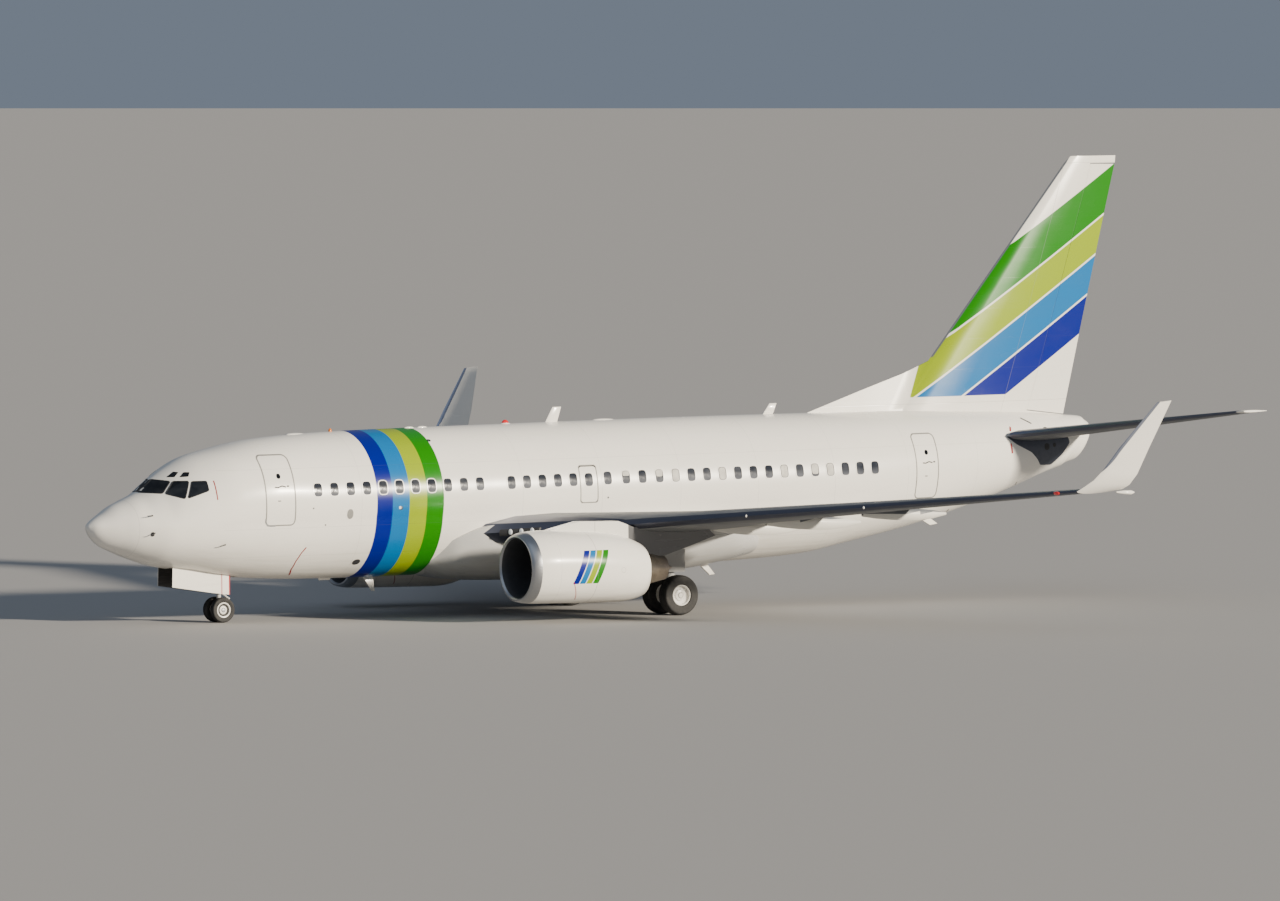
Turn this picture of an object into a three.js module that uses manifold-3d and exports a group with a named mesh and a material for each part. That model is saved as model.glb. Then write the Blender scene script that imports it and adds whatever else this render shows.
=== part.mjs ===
// Short-body twin-engine airliner, parked on its gear, in millimetres, +X forward, +Y to port, +Z up.
// Stations run aft from the nose tip, so a point at station s has x = -s inside the airframe group.
import * as THREE from "three";
import { mergeVertices } from "three/addons/utils/BufferGeometryUtils.js";
import Module from "manifold-3d";

const wasm = await Module();
wasm.setup();

// Driving dimensions
const FIT = 0.3;
const SKIN_FIT = 0.7;
const RUNNING_GAP = 6;
const NOSE_DOWN = THREE.MathUtils.degToRad(0.7);
const BODY_HALF_WIDTH = 1880;
const LOWER_LOBE_RADIUS = 1830;
const LOWER_LOBE_DEPTH = 2130;
const RADOME_SEAM = 1100;
const TAIL_CONE_SEAM = 31300;
// A distance beyond every end of the aircraft
const BEYOND = 40000;

const MAIN_GEAR = { s: 16610, y: 2860, tyreRadius: 552.5, tyreWidth: 406, spacing: 860 };
const NOSE_GEAR = { s: 4030, tyreRadius: 343, tyreWidth: 197, spacing: 400 };
NOSE_GEAR.ground = (MAIN_GEAR.s - NOSE_GEAR.s) * Math.tan(NOSE_DOWN);
NOSE_GEAR.hub = NOSE_GEAR.ground + NOSE_GEAR.tyreRadius;

const ENGINE = { y: 4830, axis: 1580, fanStation: 11450, coreDrop: 150 };
const STABILISER_PIVOT = { s: 30900, z: 4480, radius: 70, sides: 36, fit: 0.8, inner: 250, outer: 1150 };
const STABILISER_TRIM = [-12.9, -8.6, -4.3, 0, 4.2];

// Materials of the photograph
const paint = (color, roughness = 0.32, metalness = 0.1) =>
  new THREE.MeshStandardMaterial({ color, roughness, metalness });
const MATERIAL = {
  white: () => paint(0xe9e7df),
  grey: () => paint(0x8d9297, 0.45, 0.3),
  polished: () => paint(0xc9cbce, 0.18, 1),
  dark: () => paint(0x2b2d30, 0.6, 0.2),
  glass: () => paint(0x10161d, 0.08, 0),
  tyre: () => paint(0x17181a, 0.85, 0),
  steel: () => paint(0xb9bcc0, 0.4, 0.8),
  titanium: () => paint(0x8c7a63, 0.4, 0.9),
  green: () => paint(0x46b02f),
};

// A point of the airframe from its station, its distance to port and its height.
const at = (s, y, z) => new THREE.Vector3(-s, y, z);

// Closed solid of a three.js geometry.
function solidOf(geometry) {
  const bare = geometry.clone();
  bare.deleteAttribute("normal");
  bare.deleteAttribute("uv");
  const merged = mergeVertices(bare, 1e-3);
  const index = merged.index.array;
  const triangles = [];
  for (let i = 0; i < index.length; i += 3) {
    const [a, b, c] = [index[i], index[i + 1], index[i + 2]];
    if (a !== b && b !== c && c !== a) triangles.push(a, b, c);
  }
  return new wasm.Manifold(new wasm.Mesh({
    numProp: 3,
    vertProperties: new Float32Array(merged.attributes.position.array),
    triVerts: new Uint32Array(triangles),
  }));
}

// The largest connected body of a solid, without the slivers that a cut can leave.
function mainBody(solid) {
  const bodies = solid.decompose();
  return bodies.reduce((best, body) => (body.volume() > best.volume() ? body : best), bodies[0]);
}

// Closed solid through rings of equally many points, each end closed by a strip across its ring. The
// second half of a ring splits its quads the other way, so that a symmetric ring gives a symmetric solid.
function loft(rings) {
  const count = rings[0].length;
  const points = rings.flat();
  const index = [];
  for (let r = 0; r < rings.length - 1; r += 1) {
    for (let i = 0; i < count; i += 1) {
      const a = r * count + i;
      const b = r * count + ((i + 1) % count);
      if (2 * i < count) index.push(a, b, b + count, a, b + count, a + count);
      else index.push(a, b, a + count, b, b + count, a + count);
    }
  }
  const close = (base, forward) => {
    let low = 0;
    let high = count - 1;
    const face = (i, j, k) => index.push(...(forward ? [i, j, k] : [i, k, j]).map((n) => base + n));
    while (low + 1 < high) {
      face(low, low + 1, high);
      low += 1;
      if (low + 1 < high) {
        face(low, high - 1, high);
        high -= 1;
      }
    }
  };
  close(0, false);
  close((rings.length - 1) * count, true);
  let volume = 0;
  for (let i = 0; i < index.length; i += 3) {
    const [a, b, c] = [points[index[i]], points[index[i + 1]], points[index[i + 2]]];
    volume += a.dot(new THREE.Vector3().crossVectors(b, c));
  }
  if (volume < 0) index.reverse();
  const geometry = new THREE.BufferGeometry().setFromPoints(points);
  geometry.setIndex(index);
  return solidOf(geometry);
}

// Prism of a flat shape, from a point, along the cross product of the two directions of its plane.
function prism(shape, depth, origin, across, up, segments = 2) {
  const geometry = new THREE.ExtrudeGeometry(shape, { depth, bevelEnabled: false, curveSegments: segments });
  const away = new THREE.Vector3().crossVectors(across, up);
  geometry.applyMatrix4(new THREE.Matrix4().makeBasis(across, up, away).setPosition(origin));
  return solidOf(geometry);
}

const FORWARD = new THREE.Vector3(1, 0, 0);
const PORT = new THREE.Vector3(0, 1, 0);
const UP = new THREE.Vector3(0, 0, 1);

// Shape of a polygon; points are pairs.
const polygon = (points) => new THREE.Shape(points.map(([x, y]) => new THREE.Vector2(x, y)));

// Rectangle with round corners between two corners.
function roundedRectangle(x0, y0, x1, y1, radius) {
  const shape = new THREE.Shape();
  shape.absarc(x1 - radius, y1 - radius, radius, 0, Math.PI / 2);
  shape.absarc(x0 + radius, y1 - radius, radius, Math.PI / 2, Math.PI);
  shape.absarc(x0 + radius, y0 + radius, radius, Math.PI, Math.PI * 1.5);
  shape.absarc(x1 - radius, y0 + radius, radius, Math.PI * 1.5, Math.PI * 2);
  return shape;
}

// Prism of an outline of stations and heights, from y0 to y1.
const sidePrism = (outline, y0, y1) =>
  prism(polygon(outline.map(([s, z]) => [-s, z])), y1 - y0, new THREE.Vector3(0, y1, 0), FORWARD, UP);

// Prism of an outline of stations and distances to port, from z0 to z1.
const planPrism = (outline, z0, z1) =>
  prism(polygon(outline.map(([s, y]) => [-s, y])), z1 - z0, new THREE.Vector3(0, 0, z0), FORWARD, PORT);

// Block between two stations, two distances to port and two heights.
function block(s0, s1, y0, y1, z0, z1) {
  const geometry = new THREE.BoxGeometry(s1 - s0, y1 - y0, z1 - z0);
  geometry.translate(-(s0 + s1) / 2, (y0 + y1) / 2, (z0 + z1) / 2);
  return solidOf(geometry);
}

// Round rod or cone from one point to another.
function rod(from, to, radius, endRadius = radius, sides = 16) {
  const axis = new THREE.Vector3().subVectors(to, from);
  const geometry = new THREE.CylinderGeometry(endRadius, radius, axis.length(), sides);
  geometry.applyQuaternion(new THREE.Quaternion().setFromUnitVectors(PORT, axis.clone().normalize()));
  const middle = new THREE.Vector3().addVectors(from, to).multiplyScalar(0.5);
  geometry.translate(middle.x, middle.y, middle.z);
  return solidOf(geometry);
}

// Row of a table at a value of its first column, in line between its neighbours.
function rowAt(table, value) {
  const next = table.findIndex((row) => row[0] >= value);
  const k = next < 0 ? table.length - 1 : Math.max(1, next);
  const part = (value - table[k - 1][0]) / (table[k][0] - table[k - 1][0]);
  return table[k].map((entry, column) => THREE.MathUtils.lerp(table[k - 1][column], entry, part));
}

const mirrored = (solid) => solid.mirror([0, 1, 0]);
const bothSides = (solid) => solid.add(mirrored(solid));

// Fuselage sections: station, crown, keel, half width, height of the widest point, crease 0 to 1, lean,
// and fullness of the upper half (2 for an ellipse, less for a pointed and more for a boxy one)
const FUSELAGE = [
  [0, 2875, 2815, 40, 2845, 0, 0, 2],
  [50, 2955, 2690, 160, 2840, 0, 0, 2],
  [150, 3035, 2545, 290, 2840, 0, 0, 2],
  [400, 3190, 2330, 490, 2830, 0, 0, 2],
  [750, 3405, 2170, 735, 2810, 0, 0, 2],
  [RADOME_SEAM, 3550, 2025, 960, 2810, 0, 0, 2],
  [1480, 3735, 1890, 1160, 2830, 0, 0, 1.7],
  [1880, 4065, 1765, 1340, 2860, 0, 0, 1.55],
  [2300, 4335, 1680, 1470, 2930, 0.2, 0, 1.8],
  [3000, 4655, 1575, 1640, 3060, 0.5, 0, 2.1],
  [3900, 4860, 1420, 1785, 3250, 0.8, 0, 2.35],
  [5000, 5060, 1315, 1862, 3330, 1, 0, 2.25],
  [6500, 5170, 1240, 1880, 3350, 1, 0, 2.05],
  [8500, 5225, 1215, 1880, 3360, 1, 0, 2],
  [12000, 5250, 1215, 1880, 3370, 1, 0, 2],
  [19500, 5280, 1215, 1880, 3380, 1, 0, 2],
  [21000, 5275, 1250, 1880, 3395, 1, 0, 2],
  [22500, 5270, 1340, 1865, 3420, 0.9, 0, 2],
  [24000, 5265, 1590, 1800, 3490, 0.6, 0, 2],
  [26000, 5250, 1960, 1630, 3630, 0.3, 0, 2],
  [27800, 5205, 2400, 1390, 3820, 0, 0, 2],
  [29600, 5130, 2925, 1080, 4030, 0, 0, 2],
  [TAIL_CONE_SEAM, 4995, 3475, 690, 4210, 0, 0, 2],
  [31840, 4920, 3580, 500, 4220, 0, 0.45, 2],
  [31990, 4830, 3625, 440, 4220, 0, 0.49, 2],
  [32150, 4735, 3665, 395, 4210, 0, 0.52, 2],
  [32215, 4645, 3700, 350, 4200, 0, 0.53, 2],
];

const UPPER_STEPS = 8;
const LOWER_STEPS = 5;

// Half section of two lobes about the widest point, from crown to keel: pairs of width and height.
function lobes() {
  const offset = LOWER_LOBE_DEPTH - LOWER_LOBE_RADIUS;
  const gap = BODY_HALF_WIDTH ** 2 - LOWER_LOBE_RADIUS ** 2 + offset ** 2;
  const creaseDepth = gap / (2 * offset);
  const upperEnd = -Math.asin(creaseDepth / BODY_HALF_WIDTH);
  const lowerStart = -Math.asin((creaseDepth - offset) / LOWER_LOBE_RADIUS);
  const half = [];
  for (let i = 0; i <= UPPER_STEPS; i += 1) {
    const angle = THREE.MathUtils.lerp(Math.PI / 2, upperEnd, i / UPPER_STEPS);
    half.push([BODY_HALF_WIDTH * Math.cos(angle), BODY_HALF_WIDTH * Math.sin(angle)]);
  }
  for (let i = 1; i <= LOWER_STEPS; i += 1) {
    const angle = THREE.MathUtils.lerp(lowerStart, -Math.PI / 2, i / LOWER_STEPS);
    half.push([LOWER_LOBE_RADIUS * Math.cos(angle), LOWER_LOBE_RADIUS * Math.sin(angle) - offset]);
  }
  return half;
}

const LOBES = lobes();

// Half width of a section at a height over its widest point; below it, towards the given width of the
// lobes as far as the section is creased.
function halfWidthAt([, crown, keel, halfWidth, wide, crease, , fullness], height, lobeWidth) {
  const part = Math.min(1, height > 0 ? height / (crown - wide) : -height / (wide - keel));
  const power = height > 0 ? fullness : 2;
  const oval = (1 - part ** power) ** (1 / power);
  const lobe = height > 0 || lobeWidth === undefined ? oval : lobeWidth;
  return halfWidth * THREE.MathUtils.lerp(oval, lobe, crease);
}

function fuselageRing(row, grow) {
  const [s, crown, keel, halfWidth, wide, , lean] = row;
  const ring = LOBES.map(([lobeWidth, lobeHeight]) => {
    const reach = lobeHeight > 0 ? crown - wide : wide - keel;
    const part = lobeHeight / (lobeHeight > 0 ? BODY_HALF_WIDTH : LOWER_LOBE_DEPTH);
    const y = halfWidthAt(row, part * reach, lobeWidth / BODY_HALF_WIDTH) * (1 + grow / halfWidth);
    const z = part * (reach + grow);
    return at(s + lean * z, y, wide + z);
  });
  ring[0].y = 0;
  ring[ring.length - 1].y = 0;
  const starboard = ring.slice(1, -1).reverse().map((p) => new THREE.Vector3(p.x, -p.y, p.z));
  return [...ring, ...starboard];
}

// Stretch of the body between two tabled stations, with its ends moved by the given amounts.
function bodyStretch(from, to, grow = 0, startShift = 0, endShift = 0) {
  const rows = FUSELAGE.filter((row) => row[0] >= from && row[0] <= to).map((row) => [...row]);
  rows[0][0] += startShift;
  rows[rows.length - 1][0] += endShift;
  return loft(rows.map((row) => fuselageRing(row, grow)));
}

const wholeBody = (grow) => bodyStretch(0, BEYOND, grow);

// Wing sections: distance to port, leading and trailing edge stations and heights, thickness ratio
const WING = [
  [1200, 10600, 19330, 2330, 2080, 0.118],
  [2000, 11250, 19300, 2380, 2120, 0.118],
  [4600, 13930, 18850, 2610, 2500, 0.125],
  [5800, 14560, 18620, 2725, 2640, 0.12],
  [11500, 17570, 20200, 3235, 3220, 0.108],
  [17000, 20470, 21680, 3750, 3745, 0.1],
];

// Winglet sections: distance to port, leading and trailing edge stations and heights, cant, thickness ratio
const WINGLET = [
  [17000, 20470, 21680, 3750, 3745, 8, 0.1],
  [17120, 20620, 21850, 3870, 3790, 25, 0.1],
  [17230, 20850, 21990, 4040, 3900, 50, 0.1],
  [17340, 21060, 22170, 4290, 4180, 68, 0.098],
  [17500, 21490, 22440, 4890, 4860, 73, 0.09],
  [17895, 22440, 22900, 6080, 6120, 74, 0.08],
];

const FOIL_STEPS = 8;

// Half thickness of a foil of unit chord at a part of its chord.
const foilHalf = (x, thickness) =>
  5 * thickness * (0.2969 * Math.sqrt(x) - 0.126 * x - 0.3516 * x ** 2 + 0.2843 * x ** 3 - 0.1015 * x ** 4);
// Half thickness that every foil has at its trailing edge
const BLUNT = 5;

// Foil of unit chord, from the upper trailing edge over the leading edge: pairs of chord and height.
function foil(thickness, camber, blunt) {
  const half = (x) => foilHalf(x, thickness) + blunt * x;
  const mean = (x) => camber * 4 * x * (1 - x);
  const upper = [];
  const lower = [];
  for (let i = 0; i <= FOIL_STEPS; i += 1) {
    const x = 0.5 * (1 + Math.cos((Math.PI * i) / FOIL_STEPS));
    upper.push([x, mean(x) + half(x)]);
    if (i < FOIL_STEPS) lower.unshift([x, mean(x) - half(x)]);
  }
  return [...upper, ...lower];
}

// Foil ring between a leading and a trailing point; thickness runs along the given direction.
function foilRing(lead, trail, direction, thickness, camber = 0, grow = 0) {
  const chord = new THREE.Vector3().subVectors(trail, lead);
  const length = chord.length();
  const along = chord.clone().normalize();
  const middle = foil(thickness, camber, BLUNT / length);
  return middle.map(([x, h]) => {
    const side = Math.sign(h) * (x === 0 ? 0 : grow);
    const stretch = x * (length + 2 * grow) - grow;
    return lead.clone().addScaledVector(along, stretch).addScaledVector(direction, h * length + side);
  });
}

const WING_CAMBER = 0.012;

const wingSolid = (grow) =>
  loft(WING.map(([y, lead, trail, leadZ, trailZ, thick]) =>
    foilRing(at(lead, y, leadZ), at(trail, y, trailZ), UP, thick, WING_CAMBER, grow)));

// Half thickness direction of a surface canted up by an angle from the wing plane.
const cantedUp = (degrees) => {
  const angle = THREE.MathUtils.degToRad(degrees);
  return new THREE.Vector3(0, -Math.sin(angle), Math.cos(angle));
};

function wingletSolid() {
  const rings = WINGLET.map(([y, lead, trail, leadZ, trailZ, cant, thick]) =>
    foilRing(at(lead, y, leadZ), at(trail, y, trailZ), cantedUp(cant), thick));
  return loft(rings);
}

// Parts a hinged control surface from its parent: the surface keeps a round nose about its hinge,
// the parent gets a cove around that nose, and a pin at each end runs in a bore of the surface.
const HINGE_PIN = { radius: 14, depth: 40, fit: 0.8, sides: 12 };
const COVE_GAP = 12;
const NOSE_SIDES = 16;

// ribs(gap, fore) is the prism between the end ribs, from a distance ahead of the hinge to behind it.
function partHinged(parent, ribs, start, end, startRadius, endRadius, pinDepth = HINGE_PIN.depth) {
  const along = new THREE.Vector3().subVectors(end, start).normalize();
  const reach = (point, distance) => point.clone().addScaledVector(along, distance);
  const taper = (endRadius - startRadius) / start.distanceTo(end);
  const spare = 2 * Math.max(startRadius, endRadius);
  const bar = (grow) => rod(reach(start, -spare), reach(end, spare),
    startRadius - taper * spare + grow, endRadius + taper * spare + grow, NOSE_SIDES);
  const nose = bar(0).intersect(ribs(0, spare));
  const cove = bar(COVE_GAP).intersect(ribs(RUNNING_GAP, 2 * spare));
  let surface = mainBody(parent.intersect(ribs(0, 0))).add(nose);
  let carrier = parent.subtract(ribs(RUNNING_GAP, 0)).subtract(cove);
  const bore = HINGE_PIN.radius + HINGE_PIN.fit;
  for (const [point, way] of [[start, -1], [end, 1]]) {
    const [inner, outer] = [reach(point, -way * pinDepth), reach(point, way * pinDepth)];
    carrier = carrier.add(rod(inner, outer, HINGE_PIN.radius, HINGE_PIN.radius, HINGE_PIN.sides));
    surface = surface.subtract(rod(reach(inner, -way * 2), outer, bore, bore, HINGE_PIN.sides));
  }
  return { surface: mainBody(surface), carrier: mainBody(carrier) };
}

// Room between square end ribs: height, and length behind the hinge
const RIB_ROOM = { tall: 1500, aft: 2500 };

// Ribs for a hinge that lies across the body, with end faces square to the hinge.
function squareRibs(start, end) {
  const along = new THREE.Vector3().subVectors(end, start);
  const length = along.length();
  along.normalize();
  const aft = new THREE.Vector3().crossVectors(UP, along).normalize();
  const below = new THREE.Vector3().crossVectors(along, aft);
  const origin = start.clone().addScaledVector(below, -RIB_ROOM.tall / 2);
  return (gap, fore) => prism(
    polygon([[-gap, -fore], [length + gap, -fore], [length + gap, RIB_ROOM.aft], [-gap, RIB_ROOM.aft]]),
    RIB_ROOM.tall, origin, along, aft);
}

// Height of the wing's middle surface and half thickness at a point of its plan.
function wingAt(s, y) {
  const [, lead, trail, leadZ, trailZ, thick] = rowAt(WING, y);
  const chord = trail - lead;
  const x = (s - lead) / chord;
  const z = leadZ + x * (trailZ - leadZ) + WING_CAMBER * 4 * x * (1 - x) * chord;
  return { z, half: foilHalf(x, thick) * chord + BLUNT * x };
}

// Ailerons: hinge stations at the inner and outer rib
const AILERON = { inner: 12640, outer: 15900, innerHinge: 19947, outerHinge: 20990 };

function partAileron(wing) {
  const a = wingAt(AILERON.innerHinge, AILERON.inner);
  const b = wingAt(AILERON.outerHinge, AILERON.outer);
  const start = at(AILERON.innerHinge, AILERON.inner, a.z);
  const end = at(AILERON.outerHinge, AILERON.outer, b.z);
  return partHinged(wing, squareRibs(start, end), start, end, a.half - 1, b.half - 1);
}

// Flaps, stowed: distance to port and hinge-line station at the inner and outer end
const FLAPS = [
  { name: "flap_inboard", from: [2330, 16900], to: [5000, 17150] },
  { name: "flap_outboard", from: [5500, 17250], to: [12300, 19900] },
];

// Room of a flap: length behind its hinge line, and heights
const FLAP_ROOM = { aft: 4000, low: 1000, high: 5000 };

const flapPrism = ({ from, to }, gap) => planPrism([
  [from[1] - gap, from[0] - gap],
  [from[1] + FLAP_ROOM.aft, from[0] - gap],
  [to[1] + FLAP_ROOM.aft, to[0] + gap],
  [to[1] - gap, to[0] + gap],
], FLAP_ROOM.low, FLAP_ROOM.high);

// Flap track fairings: distance to port, first and last station, depth below the wing
const TRACK_FAIRINGS = [
  [4720, 16850, 19750, 330],
  [6950, 17150, 20200, 330],
  [9950, 18300, 21000, 290],
];
// Their common form: half width, steps along and around, least size, part of a sine wave along the
// length and its power, how far the middle sinks and the section rises by depth, and where it levels off
const TRACK = {
  half: 125, steps: 6, sides: 10, least: 0.12, wave: [0.08, 0.9], power: 0.6, sink: 0.5, rise: 0.62, level: 0.7,
};

function trackFairing([y, from, to, depth]) {
  const rings = [];
  for (let i = 0; i <= TRACK.steps; i += 1) {
    const t = i / TRACK.steps;
    const wave = Math.sin(Math.PI * Math.min(1, TRACK.wave[0] + t * TRACK.wave[1]));
    const size = Math.max(TRACK.least, wave ** TRACK.power);
    const s = from + t * (to - from);
    const middle = wingAt(Math.min(s, from + TRACK.level * (to - from)), y).z - depth * TRACK.sink;
    const ring = [];
    for (let k = 0; k < TRACK.sides; k += 1) {
      const angle = (2 * Math.PI * k) / TRACK.sides;
      const [c, n] = [Math.cos(angle), Math.sin(angle)];
      ring.push(at(s, y + TRACK.half * size * c, middle + depth * TRACK.rise * size * n));
    }
    rings.push(ring);
  }
  return loft(rings);
}

// Belly fairing sections: station, half width, lowest height, height of its upper edge; and the power
// of the sine and cosine that round them
const FAIRING_POWER = 0.75;
const BELLY_FAIRING = [
  [9980, 1230, 1340, 1900],
  [10600, 1740, 1130, 2300],
  [11500, 2010, 1030, 2600],
  [13000, 2160, 985, 2720],
  [15000, 2190, 980, 2720],
  [17400, 2170, 990, 2700],
  [18500, 2090, 1075, 2620],
  [19500, 1900, 1225, 2250],
  [20400, 1450, 1380, 1950],
];

function bellyFairing(grow) {
  const steps = 5;
  const rings = BELLY_FAIRING.map(([s, half, low, high]) => {
    const ring = [];
    for (let i = -steps; i <= steps; i += 1) {
      const angle = (Math.PI / 2) * (i / steps);
      const y = Math.sign(i) * Math.abs(Math.sin(angle)) ** FAIRING_POWER * (half + grow);
      ring.push(at(s, y, high + grow - Math.cos(angle) ** FAIRING_POWER * (high - low + 2 * grow)));
    }
    return ring;
  });
  return loft(rings);
}

// Wheel wells: a round one for each pair of wheels, with a slot for its leg, and a bay for the nose leg
const WELL_FLOOR = 500;
const WELL = { y: 800, radius: 610, roof: 1760, sides: 24 };
const LEG_SLOT = { half: 210, end: 2700, roof: 1500 };
const NOSE_BAY = { front: 2360, back: 4420, half: 370, roof: 2200 };

const wellAxis = (z) => at(MAIN_GEAR.s, WELL.y, z);
const mainWell = rod(wellAxis(WELL_FLOOR), wellAxis(WELL.roof), WELL.radius, WELL.radius, WELL.sides)
  .add(block(MAIN_GEAR.s - LEG_SLOT.half, MAIN_GEAR.s + LEG_SLOT.half, WELL.y, LEG_SLOT.end, WELL_FLOOR, LEG_SLOT.roof));
const noseBay = block(NOSE_BAY.front, NOSE_BAY.back, -NOSE_BAY.half, NOSE_BAY.half, WELL_FLOOR, NOSE_BAY.roof);

// Doors and exits of the cabin and the holds: outline in station and height, and side
const DOORS = [
  { name: "entry_door_front", s: [4510, 5390], z: [2810, 4690], side: 1, corner: 130 },
  { name: "service_door_front", s: [4560, 5320], z: [2810, 4540], side: -1, corner: 130 },
  { name: "entry_door_rear", s: [25530, 26310], z: [2840, 4640], side: 1, corner: 130 },
  { name: "service_door_rear", s: [25530, 26290], z: [2840, 4490], side: -1, corner: 130 },
  { name: "cargo_door_front", s: [7500, 8720], z: [1620, 2520], side: -1, corner: 90 },
  { name: "cargo_door_rear", s: [22050, 23270], z: [1830, 2680], side: -1, corner: 90 },
];
const DOOR_DEPTH = 120;
const OUTSIDE = 2500;
const OVERWING_EXIT = { s: [14390, 14910], z: [3120, 4090], corner: 70, thick: 90, hingeInset: 12, topGap: 16 };
const EXIT_PIN = { radius: 8, reach: 60, fit: 0.5, sides: 16 };

// Prism of a door outline reaching inward from the side by the depth of the door.
function doorPrism({ s, z, side, corner }, gap, depth) {
  const shape = roundedRectangle(-s[1] - gap, z[0] - gap, -s[0] + gap, z[1] + gap, corner);
  const inner = side * (sideAt(s, z) - depth);
  const outer = side * OUTSIDE;
  const [y0, y1] = [Math.min(inner, outer), Math.max(inner, outer)];
  return prism(shape, y1 - y0, new THREE.Vector3(0, y1, 0), FORWARD, UP);
}

// Least half width of the body over the outline of a door.
function sideAt(stations, heights) {
  const rows = stations.map((station) => rowAt(FUSELAGE, station));
  return Math.min(...rows.flatMap((row) => heights.map((z) => halfWidthAt(row, z - row[4]))));
}

// Cockpit panes, port side: corner points in station and height, on the skin
const PANES = [
  { name: "windscreen", corners: [[1507, 3755], [1915, 3730], [2200, 4050], [1925, 4090]] },
  { name: "side_window_front", corners: [[1960, 3722], [2330, 3588], [2570, 4056], [2245, 4049]] },
  { name: "side_window_rear", corners: [[2395, 3600], [2960, 3800], [2970, 4053], [2620, 4045]] },
];
const PANE_DEPTH = 60;
const PANE_REACH = 250;

// Corners run from the lower front one aft, up and forward, so that the diagonals cross outward.
function panePrism(corners, gap, depth) {
  const points = corners.map(([s, z]) => at(s, sideAt([s], [z]), z));
  const middle = points.reduce((sum, p) => sum.add(p), new THREE.Vector3()).multiplyScalar(1 / points.length);
  const outward = new THREE.Vector3().subVectors(points[2], points[0])
    .cross(new THREE.Vector3().subVectors(points[3], points[1])).normalize();
  const up = new THREE.Vector3().subVectors(points[1], points[0]).cross(outward).negate().normalize();
  const across = new THREE.Vector3().crossVectors(up, outward);
  const flat = points.map((p) => {
    const d = new THREE.Vector3().subVectors(p, middle);
    const pair = new THREE.Vector2(d.dot(across), d.dot(up));
    return pair.multiplyScalar(1 + gap / pair.length());
  });
  const origin = middle.clone().addScaledVector(outward, -depth);
  return prism(new THREE.Shape(flat), depth + PANE_REACH, origin, across, up);
}

// Fin sections: height, leading and trailing edge stations, thickness ratio
const FIN = [
  [4950, 25620, 31610, 0.09],
  [7240, 27565, 32190, 0.095],
  [10310, 30180, 32990, 0.1],
  [12130, 31725, 33475, 0.1],
  [12325, 31960, 33495, 0.09],
];
// Dorsal ridge: station, height of its edge, half width at its foot
const DORSAL = [
  [22900, 5250, 30],
  [24740, 5840, 90],
  [25420, 6050, 130],
  [26200, 6290, 160],
  [27300, 6720, 190],
];
const RIDGE = { foot: 5000, edgeHalf: 12 };
// Rudder: hinge ends in station and height, gaps under its foot and over its head at the hinge, and
// how much its foot and its head drop per length behind the hinge; aft and half are its room
const RUDDER = {
  low: [30343, 5150], high: [32607, 12095], footGap: 25, headGap: 22, footDrop: 0.118, headDrop: 0.017, pinDepth: 70,
  aft: 1500, half: 600,
};

function finSolid(grow = 0) {
  const rings = FIN.map(([z, lead, trail, thick]) => foilRing(at(lead, 0, z), at(trail, 0, z), PORT, thick, 0, grow));
  const ridge = DORSAL.map(([s, top, half]) => [
    at(s, -half, RIDGE.foot), at(s, -RIDGE.edgeHalf, top), at(s, RIDGE.edgeHalf, top), at(s, half, RIDGE.foot),
  ]);
  return loft(rings).add(loft(ridge));
}

function finHalfThickness(s, z) {
  const [, lead, trail, thick] = rowAt(FIN, z);
  const x = (s - lead) / (trail - lead);
  return foilHalf(x, thick) * (trail - lead) + BLUNT * x;
}

function partRudder(fin) {
  const { low, high, aft } = RUDDER;
  const ribs = (gap, fore) => {
    const [below, above, headDrop] = gap > 0 ? [RUDDER.footGap, RUDDER.headGap, 0] : [0, 0, RUDDER.headDrop];
    return sidePrism([
      [low[0] - fore, low[1] - below + fore * RUDDER.footDrop],
      [low[0] + aft, low[1] - below - aft * RUDDER.footDrop],
      [high[0] + aft, high[1] + above - aft * headDrop],
      [high[0] - fore, high[1] + above + fore * headDrop],
    ], -RUDDER.half, RUDDER.half);
  };
  return partHinged(fin, ribs, at(low[0], 0, low[1]), at(high[0], 0, high[1]),
    finHalfThickness(...low) - 1, finHalfThickness(...high) - 1, RUDDER.pinDepth);
}

// Stabiliser sections: distance to port, leading and trailing edge stations, height, thickness ratio
const STABILISER = [
  [500, 28510, 31900, 4412, 0.1],
  [7050, 32640, 33590, 5216, 0.09],
  [7175, 32840, 33630, 5231, 0.07],
];
const ELEVATOR = { inner: 1250, outer: 6750, innerHinge: 31080, outerHinge: 33120 };

function stabiliserSolid() {
  return loft(STABILISER.map(([y, lead, trail, z, thick]) => foilRing(at(lead, y, z), at(trail, y, z), UP, thick)));
}

function stabiliserAt(s, y) {
  const [, lead, trail, z, thick] = rowAt(STABILISER, y);
  const x = (s - lead) / (trail - lead);
  return { z, half: foilHalf(x, thick) * (trail - lead) + BLUNT * x };
}

function partElevator(stabiliser) {
  const a = stabiliserAt(ELEVATOR.innerHinge, ELEVATOR.inner);
  const b = stabiliserAt(ELEVATOR.outerHinge, ELEVATOR.outer);
  const start = at(ELEVATOR.innerHinge, ELEVATOR.inner, a.z);
  const end = at(ELEVATOR.outerHinge, ELEVATOR.outer, b.z);
  return partHinged(stabiliser, squareRibs(start, end), start, end, a.half - 1, b.half - 1);
}

// Body turned about the stabiliser's pivot, as the trimming stabiliser meets it.
function turnedAboutPivot(solid, degrees) {
  return solid.translate([STABILISER_PIVOT.s, 0, -STABILISER_PIVOT.z])
    .rotate([0, degrees, 0])
    .translate([-STABILISER_PIVOT.s, 0, STABILISER_PIVOT.z]);
}

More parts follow.
